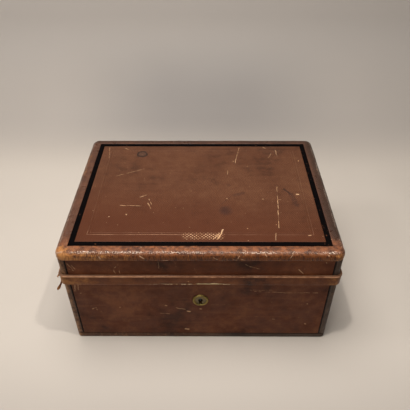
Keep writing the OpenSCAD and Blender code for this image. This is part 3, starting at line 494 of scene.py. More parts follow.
def roll_section(out, radius, low):
    """The outer line of the roll from its foot to the border: (out, z)."""
    arc = [(out - radius + radius * math.cos(a), TOP - radius + radius * math.sin(a))
           for a in (math.pi / 2 * i / ARC_STEPS for i in range(ARC_STEPS + 1))]
    return [(out - 0.35, low), (out, low + 0.5), (out + 0.12, low + 1.6)] + arc + [(-6.5, TOP), (-8.8, TOP)]


def roll_profile(stop):
    flat = place_at(stop, ROLL_OUT, ROLL_CORNER)
    nick = max(0.0, wander(flat.x, flat.y, 0, 3.2, 4.1) - 0.25) * 1.4 * rise(-flat.y, 60, 100)
    outer = roll_section(ROLL_OUT, ROLL_R, ROLL_LOW + nick)
    dented = []
    for k, (out, z) in enumerate(outer):
        push = 0.16 * wander(flat.x, flat.y, z, 9.0) + 0.07 * wander(flat.x, flat.y, z, 2.2, 3.0)
        push = min(push, 0.12)
        dented.append((out + push * (k < 12), z + (push * 0.7 - 0.05 if k > 6 else 0)))
    rim = [(-BORDER_IN + 0.5, TOP - 0.06), (-BORDER_IN, TOP - 0.45), (-BORDER_IN, TOP - SKIN)]
    arc_r = ROLL_R - SKIN
    inner = [(ROLL_OUT - ROLL_R + arc_r * math.cos(a), TOP - ROLL_R + arc_r * math.sin(a))
             for a in (math.pi / 2 * (1 - i / 5) for i in range(6))]
    return dented + rim + inner + [(ROLL_OUT - SKIN, ROLL_LOW + SKIN), (0.0, ROLL_LOW + SKIN), (0.0, ROLL_LOW + nick)]


def roll_wear(x, y, z):
    front = rise(-y, HALF_D - 14, HALF_D - 1)
    turned = rise(TOP - z, 0.2, 3.5)
    left_end, right_end = rise(-x, 30, 140), rise(x, 118, 148)
    amount = 0.28 + front * (0.1 + 0.06 * turned + 0.22 * left_end * (0.7 + 0.3 * turned) + 0.16 * right_end * turned)
    corner = rise(-y, 88, 108) * rise(abs(x), 132, 148)
    amount += corner * (0.42 if x < 0 else 0.04)
    left_patch = rise(-x, 141, 147) * rise(y, 18, 40) * (1 - rise(y, 72, 86))
    amount += 0.24 * left_patch + 0.1 * rise(-x, 141, 149) * rise(wander(x, y, z, 26, 2.0), -0.1, 0.5)
    low = rise(ROLL_LOW + 2.0 - z, 0, 2.0) * front * 0.08
    return amount + low + 0.12 * wander(x, y, z, 22, 1.0)


roll_stops = stations(step=1.6, corner_steps=12)
rolled_edge = sweep("rolled_edge", roll_stops, ROLL_CORNER, roll_profile, roll_wear)
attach(rolled_edge, "lid")
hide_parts("lid_edge_leather")

# %% [markdown]
# ## Leather of the roll
# On the roll the crossed grain is stretched and stands up in fine beads; the glints along it are painted highlights.
# Below the turn the polish has gone orange, and short upright strokes are left where things brushed past.

# %% Rolled edge leather
ROLL_MARKS = [
    ((-46, -111, 135), (-33, -113, 134), 0.9, 0.2, 0.8), ((-62, -112, 140), (-57, -113, 136), 1.2, 0.2, 0.7),
    ((-104, -112, 139), (-102, -113, 135), 1.0, 0.2, 0.7), ((41, -112, 141), (38, -113, 136), 0.7, 0.25, 0.8),
    ((42, -112, 137), (47, -113, 135), 0.6, 0.25, 0.8), ((34, -112, 136), (39, -113, 135), 0.6, 0.25, 0.6),
    ((14, -112, 139), (20, -113, 135), 0.7, 0.3, 0.5), ((45, -106, 143), (47, -107, 143), 1.0, 0.1, 0.8),
    ((96, -110, 142), (93, -113, 137), 0.7, 0.3, 0.6), ((66, -109, 143), (69, -112, 140), 0.7, 0.3, 0.6),
]


def roll_leather():
    material, g, shader, mm = start_material("rolled_edge_leather")
    color = tones(g, mm, (64, 36, 24), (88, 54, 37), (112, 72, 50), 0.3)
    grain = grain_of(g, mm, 1.0, 0.4)
    split = g.split(mm)
    handled = g.ramp(split["Y"], 30.0 - HALF_D, 9.0 - HALF_D, 0.0, 0.75)
    color = g.mix(handled, color, g.mix(g.ramp(g.noise(mm, 0.22, 4), 0.3, 0.7), (66, 34, 20), (150, 92, 56)))
    below = g.ramp(split["Z"], TOP - 1.6, TOP - 3.6, 0.0, 0.9)
    color = g.mix(below, color, g.mix(g.noise(mm, 0.08, 3), (58, 26, 10), (132, 72, 26)))
    strokes = g.ramp(g.noise(g.vector("MULTIPLY", mm, (0.7, 0.7, 0.12)), 1.0, 3), 0.48, 0.6, 0.0, 0.8)
    color = g.mix(g.times(strokes, below), color, (48, 22, 12))
    wear = g.plus(wear_of(g), g.times(g.minus(grain["Tips"], 0.5), 0.1))
    mask = rubbed(g, mm, wear, 0.2, 0.5)
    tan_tone = g.mix(g.noise(mm, 0.14, 4), (150, 86, 36), (204, 146, 84))
    tan_tone = g.mix(g.times(strokes, 0.7), tan_tone, (110, 60, 26))
    color = g.mix(g.times(mask, 0.9), color, tan_tone)
    # Painted shade: the roll is darkened a little all round, and much more down its right side and along its back, away
    # from the light; the handled front is left out.
    right_shade_share = g.ramp(split["X"], HALF_W - 14.0, HALF_W - 5.0, 0.14, 0.8)
    back_shade_share = g.ramp(split["Y"], HALF_D - 14.0, HALF_D - 5.0, 0.0, 0.6)
    painted_side_shade = g.times(g.most(right_shade_share, back_shade_share), g.ramp(handled, 0.6, 0.1))
    color = g.mix(painted_side_shade, color, (44, 28, 18))
    # Painted highlight and shade: a band along the crown of the roll gets pale glint dots and darker dots between them,
    # most at the handled front.
    painted_glint_band = g.ramp(g.math("ABSOLUTE", g.plus(beyond_faces(g, mm), 1.9)), 1.6, 0.4)
    painted_glint_band = g.times(painted_glint_band, g.ramp(handled, 0.0, 0.7, 0.45, 1.0))
    beads = g.ramp(g.noise(mm, 1.15, 1), 0.54, 0.61)
    painted_glints = g.times(g.times(beads, painted_glint_band), g.ramp(g.noise(mm, 0.06, 2), 0.38, 0.58, 0.15, 1.0))
    color = g.mix(painted_glints, color, (232, 208, 186))
    painted_glint_shade = g.times(painted_glint_band, g.ramp(g.noise(mm, 1.15, 1), 0.5, 0.42))
    color = g.mix(g.times(painted_glint_shade, 0.7), color, (66, 34, 22))
    marks = add_scratches(g, mm, ROLL_MARKS)
    fleck = specks(g, mm, 0.13, 0.3, 0.11)
    marks = g.most(marks, g.times(fleck, 0.6))
    color = g.mix(marks, color, PALE)
    height = g.minus(g.plus(grain["Height"], g.noise(mm, 0.12, 3)), mask)
    rough = g.plus(g.clouds(mm, 0.1, 3, 0.26, 0.42), g.times(mask, 0.16))
    join(g, shader, color, rough, height, 0.26, specular=0.28)
    return material


rolled_edge.data.materials.append(roll_leather())

# %% [markdown]
# ## The top panel
# One large skin inside the black border. Eleven millimetres in from the border runs a pair of fine tooled lines,
# pressed with a hot wheel. The lines are real grooves in the mesh: extra grid lines are laid where they run, and the
# grid is left coarse elsewhere. The panel's rim rolls down a little to the border.


# %% Closed slabs from a grid
def slab_parts(us, vs, keep, lift, thickness, put, wear_at=None):
    """A closed sheet on a grid: keep says which cells are there, lift the height and put the place of a point."""
    inside = {(i, j) for i in range(len(us) - 1) for j in range(len(vs) - 1)
              if keep((us[i] + us[i + 1]) / 2, (vs[j] + vs[j + 1]) / 2)}
    index, points, wear, faces = {}, [], [], []

    def point(i, j, under):
        key = (i, j, under)
        if key not in index:
            index[key] = len(points)
            points.append(put(us[i], vs[j], -thickness if under else lift(us[i], vs[j])))
            wear.append(wear_at(us[i], vs[j]) if wear_at else 0.0)
        return index[key]

    for i, j in sorted(inside):
        faces.append((point(i, j, 0), point(i + 1, j, 0), point(i + 1, j + 1, 0), point(i, j + 1, 0)))
        faces.append((point(i, j, 1), point(i, j + 1, 1), point(i + 1, j + 1, 1), point(i + 1, j, 1)))
        for di, dj, a, b in ((0, -1, (i, j), (i + 1, j)), (1, 0, (i + 1, j), (i + 1, j + 1)),
                             (0, 1, (i + 1, j + 1), (i, j + 1)), (-1, 0, (i, j + 1), (i, j))):
            if (i + di, j + dj) not in inside:
                faces.append((point(*a, 1), point(*b, 1), point(*b, 0), point(*a, 0)))
    return points, faces, wear


def grid_lines(low, high, step, extra=()):
    """Even grid lines from low to high, with extra ones where something fine needs them."""
    count = max(1, round((high - low) / step))
    even = [low + (high - low) * i / count for i in range(count + 1)]
    cuts = sorted(x for x in extra if low < x < high)
    return sorted(set(cuts + [x for x in even if all(abs(x - c) > step * 0.3 for c in cuts) or x in (low, high)]))


# %% Top panel
PANEL_W, PANEL_D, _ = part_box("lid_top_leather")[1] / MM
LINE_IN, LINE_GAP, LINE_W, LINE_DEEP = 11.0, 2.9, 0.36, 0.22
cuts_x, cuts_y = [], []
for inset in (LINE_IN, LINE_IN + LINE_GAP):
    for side in (-1, 1):
        for edge in (-LINE_W, -LINE_W * 0.3, LINE_W * 0.3, LINE_W):
            cuts_x.append(side * (PANEL_W - inset) + edge)
            cuts_y.append(side * (PANEL_D - inset) + edge)
for half, cuts in ((PANEL_W, cuts_x), (PANEL_D, cuts_y)):
    cuts += [side * (half - inset) for side in (-1, 1) for inset in (0.15, 0.4, 0.8, 1.4)]


def tooled(u, v, inner=1.0):
    """How far a point lies in one of the two tooled rings, from 0 to 1, and for the inner ring up to inner."""
    deep = 0.0
    for inset, most in ((LINE_IN, 1.0), (LINE_IN + LINE_GAP, inner)):
        off = max(abs(u) - (PANEL_W - inset), abs(v) - (PANEL_D - inset))
        deep = max(deep, most * (1 - rise(abs(off), LINE_W * 0.3, LINE_W)))
    return deep


def top_lift(u, v):
    to_edge = min(PANEL_W - abs(u), PANEL_D - abs(v))
    rolled = -0.45 * (1 - rise(to_edge, -0.6, 1.4)) ** 2
    return rolled - LINE_DEEP * tooled(u, v) + 0.1 * wander(u, v, 0, 28, 5.0) - 0.1


top_panel = make_mesh("top_panel", *slab_parts(
    grid_lines(-PANEL_W, PANEL_W, 2.6, cuts_x), grid_lines(-PANEL_D, PANEL_D, 2.6, cuts_y),
    lambda u, v: True, top_lift, SKIN, lambda u, v, h: (u, v, TOP + h), lambda u, v: tooled(u, v, 0.4)))
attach(top_panel, "lid")
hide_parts("lid_top_leather")

# %% [markdown]
# ## Marks on the top
# Each mark stands where it was measured in the photograph: long pale scratches, a ring left by something wet, two dark
# spots, and near the front a strip where the crossed grain is rubbed to tan on its tips. The material adds them one
# by one over the common leather, and the tooled lines show pale where dust and rubbing filled them. Cycles holds only
# so many values at once for one material, and this one is near that limit: with six more scratches, or with its
# nodes made in another order, the top renders black without a message.

# %% Top panel leather
def on_top(x, y):
    return x, y, TOP


TOP_SCRATCHES = on_face(on_top, [
    (92, 4, 89.7, -23, 0.6, 0.3, 0.6), (89.7, -23, 85.7, -72, 0.65, 0.25, 0.75),
    (81.9, -80, 80, -91, 0.6, 0.3, 0.6), (50.3, 90, 43.3, 53, 0.75, 0.28, 0.75),
    (-107, 24, -92.7, 31, 0.6, 0.3, 0.6), (-92.7, 31, -73.4, 40, 0.6, 0.34, 0.5),
    (-93.4, -33.4, -69, -34, 0.65, 0.3, 0.8), (-61, -22, -57, -31, 0.7, 0.25, 0.7),
    (-61.4, -29, -56.9, -39, 0.7, 0.25, 0.7), (-72, -18, -65, -14, 1.4, 0.38, 0.4),
    (-125.5, 92, -122, 62.6, 0.6, 0.32, 0.55), (-104.6, 89.5, -99.4, 85.7, 0.6, 0.3, 0.6),
    (99, 84, 99.6, 70, 0.9, 0.33, 0.55),
    (87, 65, 92.4, 77, 0.7, 0.36, 0.4), (83, 92, 86, 89, 0.8, 0.2, 0.6),
    (84, -21, 94, -23, 0.5, 0.3, 0.5),
    (33, 36, 33, 28, 1.0, 0.36, 0.4), (24.7, -75, 19, -89, 1.3, 0.16, 0.9),
    (20, -81, 14, -90, 0.9, 0.2, 0.8),
    (113.6, -12.7, 115.6, -12.9, 1.7, 0.1, 0.8), (116.7, -84, 118.4, -83.7, 1.2, 0.1, 0.7),
    (126, 58, 126.8, 59.4, 1.1, 0.1, 0.6),
])
DARK_MARKS = on_face(on_top, [
    (99.9, -2, 107, -11.8, 2.0, 0.2, 0.9), (107, -11.8, 111, -33, 5.5, 0.38, 0.6),
    (36, -16, 24, -30, 0.8, 0.3, 0.5), (50, -10, 40, -14, 5.0, 0.3, 0.35),
])
RUBBED_STRIP = on_face(on_top, [(-14, -85, 21, -85, 9.0, 0.1, 1.0)])


def top_leather():
    material, g, shader, mm = start_material("top_panel_leather")
    color = tones(g, mm, (65, 37, 23), (89, 53, 34), (105, 68, 46))
    grain = grain_of(g, mm, 0.7, 0.35)
    lit = g.ramp(g.noise(mm, 0.02, 2), 0.35, 0.65, 0.2, 0.6)
    color = g.mix(g.times(grain["Tips"], lit), color, (142, 96, 66))
    color = g.mix(g.ramp(grain["Height"], 0.55, 0.15, 0.0, 0.42), color, (44, 22, 13))
    split = g.split(mm)
    # Painted shade: the top's colour is darkened toward its front and front left, standing in for the brighter sheen
    # its back catches.
    front_shade_axis = g.add("Math", {0: split["X"], 1: 0.2, 2: split["Y"]}, operation="MULTIPLY_ADD").outputs[0]
    color = g.mix(g.ramp(front_shade_axis, 15.0, -85.0, 0.0, 0.75), color, (74, 35, 16))
    spots = add_scratches(g, mm, DARK_MARKS)
    for middle, radius, edge, amount in ((on_top(28.3, -42.5), 6.5, 9.0, 0.6), (on_top(33, 4.9), 2.4, 3.0, 0.4)):
        stain = use_group(g, "Stain", Vector=mm, Middle=middle, Radius=radius, Edge=edge)["Mask"]
        spots = g.most(spots, g.times(stain, amount))
    color = g.mix(spots, color, (46, 27, 24))
    ring = use_group(g, "Stain", Vector=mm, Middle=on_top(-79.2, 74.6), Radius=6.4, Edge=3.6)
    color = g.mix(g.times(ring["Mask"], 0.5), color, (70, 54, 45))
    color = g.mix(g.times(ring["Ring"], 0.95), color, (32, 22, 20))
    dents = add_scratches(g, mm, TOP_SCRATCHES)
    for scale, share, size, amount in ((0.045, 0.5, 0.055, 0.8), (0.1, 0.3, 0.075, 0.6), (0.24, 0.2, 0.11, 0.45)):
        mask = specks(g, mm, scale, share, size)
        dents = g.most(dents, g.times(mask, amount))
    strip = add_scratches(g, mm, RUBBED_STRIP)
    hatch = g.ramp(g.crossed_waves(mm, 0.8, 0.112, 0.4), 0.34, 0.52)
    hatch = g.times(g.times(hatch, strip), g.ramp(g.noise(mm, 0.4, 2), 0.38, 0.5, 0.15, 1.0))
    color = g.mix(g.times(strip, 0.12), color, (112, 62, 36))
    dents = g.most(dents, g.times(hatch, 0.75))
    color = g.mix(dents, color, g.mix(g.noise(mm, 0.1, 2), TAN, (214, 180, 148)))
    near_front = g.times(g.ramp(split["Y"], -74.0, -82.0), g.ramp(split["X"], -6.0, -20.0, 0.35, 1.0))
    dusty = g.times(g.ramp(near_front, 0.0, 1.0, 0.13, 0.7), g.ramp(g.noise(mm, 0.05, 3), 0.35, 0.6, 0.3, 1.0))
    color = g.mix(g.times(wear_of(g), dusty), color, (188, 146, 116))
    height = g.minus(grain["Height"], dents)
    rough = g.clouds(mm, 0.03, 4, 0.46, 0.6)
    join(g, shader, color, g.plus(rough, g.times(dents, 0.2)), height, 0.18, specular=0.12)
    return material


top_panel.data.materials.append(top_leather())

# %% [markdown]
# ## The band over the joint
# A strip of leather over a strip of brass keeps dust out of the joint. It is fixed to the lid and hangs over the base.
# Along its top runs a bead, pale over its whole length, partly rubbed and partly a painted highlight. Its lower edge is
# frayed in the middle of the front, where thumbs lift the lid, and there the brass shows. Hands have also worn both its
# front corners to orange.

# %% Covering band
band_low, band_high = (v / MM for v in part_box("lid_band"))
core_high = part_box("lid_band_core")[1] / MM
BAND_LOW, BAND_TOP, BAND_BACK_LOW = band_low.z, band_high.z, 109.3
CORE_OUT = round(core_high.x - HALF_W, 3)
BAND_OUT = CORE_OUT + 1.2
BEAD_R = 1.0
BAND_CORNER = 5.0
print("band from", BAND_LOW, "to", BAND_TOP, "core out", CORE_OUT)


def band_floor(stop, x, y):
    """The height of the band's lower edge: it stays above the hinges at the back and is frayed at the front."""
    kind, number, _ = stop
    if number == 2 or (kind == "corner" and number == 1):
        return BAND_BACK_LOW + 0.1 * wander(x, y, 0, 5)
    low = BAND_LOW + 0.16 * max(0.0, wander(x, y, 0, 4.5, 7.0))
    if number == 0 and kind == "side":
        frayed = rise(x, -62, -30) * (1 - rise(x, 18, 40))
        low += frayed * (0.7 + 1.1 * wander(x, 0, 0, 3.1, 1.7) + 0.8 * wander(x, 0, 0, 1.3, 9.0))
        gap = rise(x, -7, -2) * (1 - rise(x, 22, 27))
        low = max(low, BAND_LOW + gap * (2.2 + 0.7 * wander(x, 0, 0, 4.0, 2.2)))
    return max(low, BAND_LOW)


def band_profile(stop):
    flat = place_at(stop, BAND_OUT, BAND_CORNER)
    x, y = flat
    low = band_floor(stop, x, y)
    neck = BAND_TOP - 2 * BEAD_R - 0.25
    soft = 0.14 * wander(x, y, 0, 12, 3.3) + 0.06 * wander(x, y, 0, 2.5, 8.0)
    line = [(CORE_OUT + 0.05, low + 0.15), (CORE_OUT + 0.55, low), (BAND_OUT - 0.25, low + 0.12), (BAND_OUT, low + 0.5)]
    for share in (0.2, 0.4, 0.6, 0.8):
        z = low + 0.5 + (neck - 0.8 - low) * share
        line.append((BAND_OUT + 0.1 * math.sin(math.pi * share) + soft * math.sin(math.pi * share), z))
    line.append((BAND_OUT - 0.1, neck))
    centre = BAND_OUT - BEAD_R + 0.8, BAND_TOP - BEAD_R - 0.3 + 0.3 * wander(x, y, 0, 26, 2.6)
    plump = BEAD_R * (1 - 0.2 * rise(x, -60, 40)) + 0.07 * wander(x, y, 0, 3.0, 6.0)
    for i in range(9):
        a = math.radians(-62 + 24 * i)
        line.append((centre[0] + plump * math.cos(a), min(centre[1] + plump * math.sin(a), BAND_TOP)))
    line += [(0.9, BAND_TOP - 0.02), (0.35, BAND_TOP - 0.06), (0.02, BAND_TOP - 0.3), (0.02, BAND_TOP - 0.5),
             (CORE_OUT - 0.02, BAND_TOP - 0.5), (CORE_OUT + 0.02, (low + BAND_TOP) / 2)]
    return line


def band_wear(x, y, z):
    # The bead's extra wear turns its top pale in the band leather: partly rubbing, partly a painted highlight along the
    # bead.
    bead = rise(z, BAND_TOP - 2.2, BAND_TOP - 1.2)
    front = rise(-y, HALF_D - 6, HALF_D)
    left_end, right_end = rise(-x, 88, 140), rise(x, 122, 150)
    amount = 0.3 + 0.34 * bead + front * (0.3 * left_end + 0.32 * right_end) + 0.14 * bead * rise(-x, -10, 90)
    amount += 0.12 * rise(-x, 140, 150)
    frayed = rise(x, -62, -30) * (1 - rise(x, 18, 40)) * front
    amount += 0.5 * frayed * rise(BAND_LOW + 2.6 - z, 0, 2.4)
    return amount + 0.1 * wander(x, y, z, 16, 4.0)


band_stops = stations(step=1.3, corner_steps=9)
covering_band = sweep("covering_band", band_stops, BAND_CORNER, band_profile, band_wear)
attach(covering_band, "lid")
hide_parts("lid_band")


# %% Band leather
def band_leather():
    material, g, shader, mm = start_material("covering_band_leather")
    color = tones(g, mm, (46, 23, 13), (98, 53, 28), (128, 76, 42))
    grain = grain_of(g, mm, 0.1, 0.5)
    mask = rubbed(g, mm, wear_of(g), 0.16, 0.2)
    split = g.split(mm)
    bead = g.ramp(split["Z"], BAND_TOP - 2.0, BAND_TOP - 1.3)
    # Painted shade: the inner half of the bead and the ledge behind it, in the crease against the lid's side, are
    # darkened.
    inner = g.ramp(beyond_faces(g, mm), BAND_OUT - 0.4, BAND_OUT - 1.0)
    tan_tone = g.mix(g.noise(mm, 0.12, 3), (128, 78, 38), (178, 124, 68))
    # Rubbing and painted highlight: the bead's top takes a pale pink tone.
    bead_rub_and_highlight = g.mix(g.noise(mm, 0.2, 3), (112, 72, 46), (188, 142, 108))
    color = g.mix(g.times(mask, 0.9), color, g.mix(bead, tan_tone, bead_rub_and_highlight))
    color = g.mix(g.times(inner, g.times(bead, 0.6)), color, (46, 24, 15))
    torn = g.times(g.ramp(split["X"], -64.0, -20.0), g.ramp(split["X"], 38.0, 24.0))
    torn = g.times(torn, g.ramp(split["Z"], BAND_LOW + 2.9, BAND_LOW + 1.5))
    torn = g.times(torn, g.ramp(g.noise(mm, 0.35, 3), 0.42, 0.56))
    color = g.mix(torn, color, (214, 186, 148))
    fleck = specks(g, mm, 0.15, 0.2, 0.1)
    color = g.mix(g.times(fleck, 0.6), color, TAN)
    height = g.minus(grain["Height"], g.times(mask, 0.5))
    rough = g.clouds(mm, 0.08, 3, 0.4, 0.6)
    join(g, shader, color, rough, height, 0.18, specular=0.2)
    return material


covering_band.data.materials.append(band_leather())

# %% [markdown]
# ## Torn flaps
# At the left front corner the band's cover has torn, and two tongues of leather stand away from it. They are thin
# strips that narrow and curl. Each is a short ribbon swept along a bent line, with ragged sides.


# %% Torn flaps
def flap(points, faces, line, widths, across, thickness=0.9):
    """A ribbon along a line of points, as wide as given at each, lying along the direction across."""
    base = len(points)
    across = Vector(across).normalized()
    for k, (at, width) in enumerate(zip(line, widths)):
        at = Vector(at)
        ahead = Vector(line[min(k + 1, len(line) - 1)]) - Vector(line[max(k - 1, 0)])
        up = ahead.cross(across).normalized() * thickness / 2
        ragged = 0.25 * wander(*at, 1.7, 3.0)
        side = across * (width / 2 + ragged)
        points += [tuple(at - side - up), tuple(at + side - up), tuple(at + side + up), tuple(at - side + up)]
    for k in range(len(line) - 1):
        a, b = base + 4 * k, base + 4 * k + 4
        faces += [(a + i, a + (i + 1) % 4, b + (i + 1) % 4, b + i) for i in range(4)]
    faces += [(base + 3, base + 2, base + 1, base), tuple(base + 4 * (len(line) - 1) + i for i in range(4))]


def bend(points, steps):
    """Points along a smooth curve through four points."""
    a, b, c, d = (Vector(p) for p in points)
    return [a * (1 - t) ** 3 + b * 3 * t * (1 - t) ** 2 + c * 3 * t * t * (1 - t) + d * t ** 3
            for t in (i / steps for i in range(steps + 1))]


flap_points, flap_faces = [], []
long_line = bend([(-151.4, -105, 98), (-153.0, -107, 94), (-155.2, -107.5, 88), (-159.4, -107.5, 82.5)], 12)
LONG_WIDTHS = (3.2, 3.0, 2.6, 2.2, 1.9, 1.8, 1.9, 2.2, 2.6, 3.0, 3.1, 2.6, 1.4)
flap(flap_points, flap_faces, long_line, LONG_WIDTHS, (0.62, -0.38, -0.46))
short_line = bend([(-152.0, -103, 104), (-153.8, -104, 104.5), (-155.2, -105, 103), (-156.4, -105, 100.5)], 8)
flap(flap_points, flap_faces, short_line, [3.0 - 0.22 * k for k in range(9)], (0.6, -0.5, -0.6))
torn_flaps = make_mesh("torn_flaps", flap_points, flap_faces, [0.4 + 0.02 * (k // 4) for k in range(len(flap_points))])
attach(torn_flaps, "lid")
torn_flaps.data.materials.append(covering_band.data.materials[0])

# %% Leathers of the CAD panels
def on_front(x, z):
    return x, -HALF_D, z


FRONT_MARKS = on_face(on_front, [
    (-138, 96, -138.5, 84, 1.6, 0.42, 0.5), (-134, 96, -135, 87, 1.2, 0.42, 0.4),
    (-124.3, 52.9, -119.9, 55.6, 0.9, 0.2, 0.8), (-121, 56, -119.5, 51.5, 0.7, 0.2, 0.7),
    (-28, 55.4, -18, 52.5, 0.8, 0.25, 0.6), (-15, 49.5, -12.6, 48.5, 1.8, 0.15, 0.75),
    (-47, 45, -36, 44, 0.8, 0.3, 0.5), (-40.5, 58.7, -39, 58.5, 1.4, 0.1, 0.5),
    (-18, 16, -15, 15, 2.2, 0.2, 0.6), (-1, 53.5, 0.2, 53.2, 1.2, 0.1, 0.6),
    (60, 84.3, 95, 82, 0.6, 0.36, 0.5), (95, 82, 130, 82, 0.6, 0.34, 0.5),
    (55, 86, 80, 86.5, 0.5, 0.42, 0.4), (-60, 60, 50, 61, 0.5, 0.5, 0.25),
    (-130, 33, -40, 35, 0.5, 0.52, 0.2), (20, 40, 120, 38, 0.5, 0.52, 0.2),
    (123, 26.4, 124, 25.6, 1.1, 0.1, 0.7), (84, 34.6, 86, 34, 0.9, 0.2, 0.4),
])
LID_MARKS = on_face(on_front, [
    (-136.3, 127.5, -131.1, 115.2, 0.55, 0.25, 0.55), (-139.8, 128.2, -134.2, 116, 0.55, 0.25, 0.5),
    (-141, 119.8, -131, 116, 0.5, 0.3, 0.45), (-140, 124, -134, 122.5, 0.5, 0.35, 0.35),
    (-84.8, 127.7, -92.1, 120, 0.6, 0.25, 0.5), (-92.1, 120, -90.5, 113.5, 0.6, 0.25, 0.5),
    (-86.5, 122.3, -85.6, 113.5, 0.6, 0.25, 0.5), (-43.7, 131, -43.6, 121, 0.5, 0.3, 0.35),
    (-26, 131, -25, 122, 0.5, 0.35, 0.4), (48.3, 126.6, 53.7, 123.1, 0.7, 0.25, 0.55),
    (53.7, 123.1, 63.4, 120.5, 0.6, 0.25, 0.5), (104.6, 119.1, 109.7, 112.9, 1.0, 0.3, 0.7),
    (131.5, 130, 132.3, 129.4, 1.2, 0.1, 0.6), (-6, 126, -4, 114, 0.5, 0.4, 0.35),
])
base_leather = leather("base_panel_leather", (57, 28, 16), (88, 47, 28), (115, 68, 41), FRONT_MARKS)
lid_side_leather = leather("lid_panel_leather", (53, 27, 15), (87, 45, 24), (111, 62, 35), LID_MARKS)

# %% [markdown]
# ## Corner strips
# Each upright corner is covered by a narrow strip of its own, let in between the panels with a dark seam on both
# sides. Corners knock against things, so the strips are rubbed to tan on the turn and stay brown beside the seams.
# The CAD mesh is kept: the wear is worked out from the distance to the corner, which the coordinates give.


# %% Corner leather
FOOT_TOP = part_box("foot_edging")[1].z / MM


def corner_leather():
    material, g, shader, mm = start_material("corner_strip_leather")
    split = g.split(g.vector("ABSOLUTE", mm))
    signed = g.split(mm)
    left = g.ramp(signed["X"], 60.0, -60.0)
    brown = tones(g, mm, (56, 34, 23), (84, 53, 35), (118, 80, 52), 0.2)
    # Painted shade: strips on the right get a darker, greyer copy of the tones, as the side away from the light; the
    # left ones keep the brown.
    shaded_right_tones = tones(g, mm, (44, 32, 26), (66, 49, 38), (92, 71, 55), 0.2)
    color = g.mix(left, shaded_right_tones, brown)
    grain = grain_of(g, mm, 0.0, 0.8)
    near = g.plus(g.minus(HALF_W, split["X"]), g.minus(HALF_D, split["Y"]))
    wear = g.plus(g.ramp(near, 1.0, 7.5, 0.5, 0.36), g.times(left, 0.12))
    mask = rubbed(g, mm, wear, 0.18, 0.3)
    tan_tone = g.mix(g.noise(mm, 0.1, 3), (136, 94, 58), (188, 144, 100))
    color = g.mix(g.times(mask, 0.85), color, tan_tone)
    fleck = specks(g, mm, 0.2, 0.15, 0.1)
    color = g.mix(g.times(fleck, 0.6), color, PALE)
    # Dirt and painted shade: the strip's edges next to the seams are darkened nearly to black, above the foot edging.
    seam_dirt_and_shade = g.times(g.ramp(near, 6.7, 7.5, 0.0, 0.85), g.ramp(signed["Z"], FOOT_TOP, FOOT_TOP + 1.0))
    color = g.mix(seam_dirt_and_shade, color, (14, 8, 7))
    height = g.minus(grain["Height"], g.times(mask, 0.6))
    join(g, shader, color, g.clouds(mm, 0.1, 3, 0.5, 0.68), height, 0.18, specular=0.3)
    return material


corner_strip_leather = corner_leather()

# %% [markdown]
# ## The black border
# A narrow strip of smooth leather dyed black lies a little below the rest. Dye sits on the surface, so it chips: small
# brown specks come through, most of all down the right side.


# %% Black border leather
def black_leather():
    material, g, shader, mm = start_material("black_border_leather")
    color = g.mix(g.noise(mm, 0.1, 4), (3, 3, 4), (14, 10, 9))
    split = g.split(mm)
    right = g.ramp(split["X"], 120.0, 134.0, 0.08, 0.85)
    chips = specks(g, mm, 0.3, right, 0.2)
    color = g.mix(g.times(chips, 0.8), color, (112, 72, 52))
    grain = grain_of(g, mm, 0.0, 0.5)
    join(g, shader, color, g.clouds(mm, 0.2, 3, 0.45, 0.6), grain["Height"], 0.08, specular=0.01)
    return material


border_leather = black_leather()


# %% [markdown]
# ## Wood, paper, metal, glass and cloth
# These finishes show when the lid is open, and from below. Wood has rings stretched along the board, old brass is dull
# with green in its hollows, silver carries fine scratches, and velvet is bright at its edges where the pile leans.
# Under the leather the wood is painted near black, as old glue and as the shade inside the open seams, so the seams at
# the corners look like ink lines.


# %% Case wood and base paper
def case_wood():
    material, g, shader, mm = start_material("case_wood")
    stretched = g.vector("MULTIPLY", mm, (0.012, 0.12, 0.2))
    rings = g.add("TexWave", {"Vector": stretched, "Scale": 1.0, "Distortion": 6.0, "Detail": 3.0}).outputs["Fac"]
    color = g.mix(rings, (120, 74, 42), (164, 112, 68))
    pores = g.noise(g.vector("MULTIPLY", mm, (0.1, 2.0, 2.0)), 1.0, 3)
    color = g.mix(g.ramp(pores, 0.55, 0.7, 0.0, 0.5), color, (82, 48, 26))
    far = g.split(g.vector("ABSOLUTE", mm))
    outside = g.most(g.math("GREATER_THAN", far["X"], HALF_W - SKIN - 0.4),
                     g.math("GREATER_THAN", far["Y"], HALF_D - SKIN - 0.4))
    # Old glue and painted shade: the wood's outer faces, seen only through the seams, are near black.
    glue_and_seam_shade = g.mix(g.noise(mm, 0.5, 3), (8, 5, 5), (22, 14, 12))
    color = g.mix(outside, color, glue_and_seam_shade)
    join(g, shader, color, g.ramp(pores, 0.3, 0.7, 0.5, 0.7), pores, 0.1, specular=0.2)
    return material


def base_paper():
    material, g, shader, mm = start_material("base_paper")
    fibres = g.noise(g.vector("MULTIPLY", mm, (0.5, 1.5, 1.0)), 1.0, 4)
    color = g.mix(fibres, (34, 26, 24), (72, 58, 52))
    bare = g.ramp(g.noise(mm, 0.06, 4), 0.55, 0.7, 0.0, 0.5)
    color = g.mix(bare, color, (120, 100, 84))
    join(g, shader, color, g.ramp(fibres, 0.3, 0.7, 0.78, 0.92), fibres, 0.1)
    return material


wood, paper = case_wood(), base_paper()


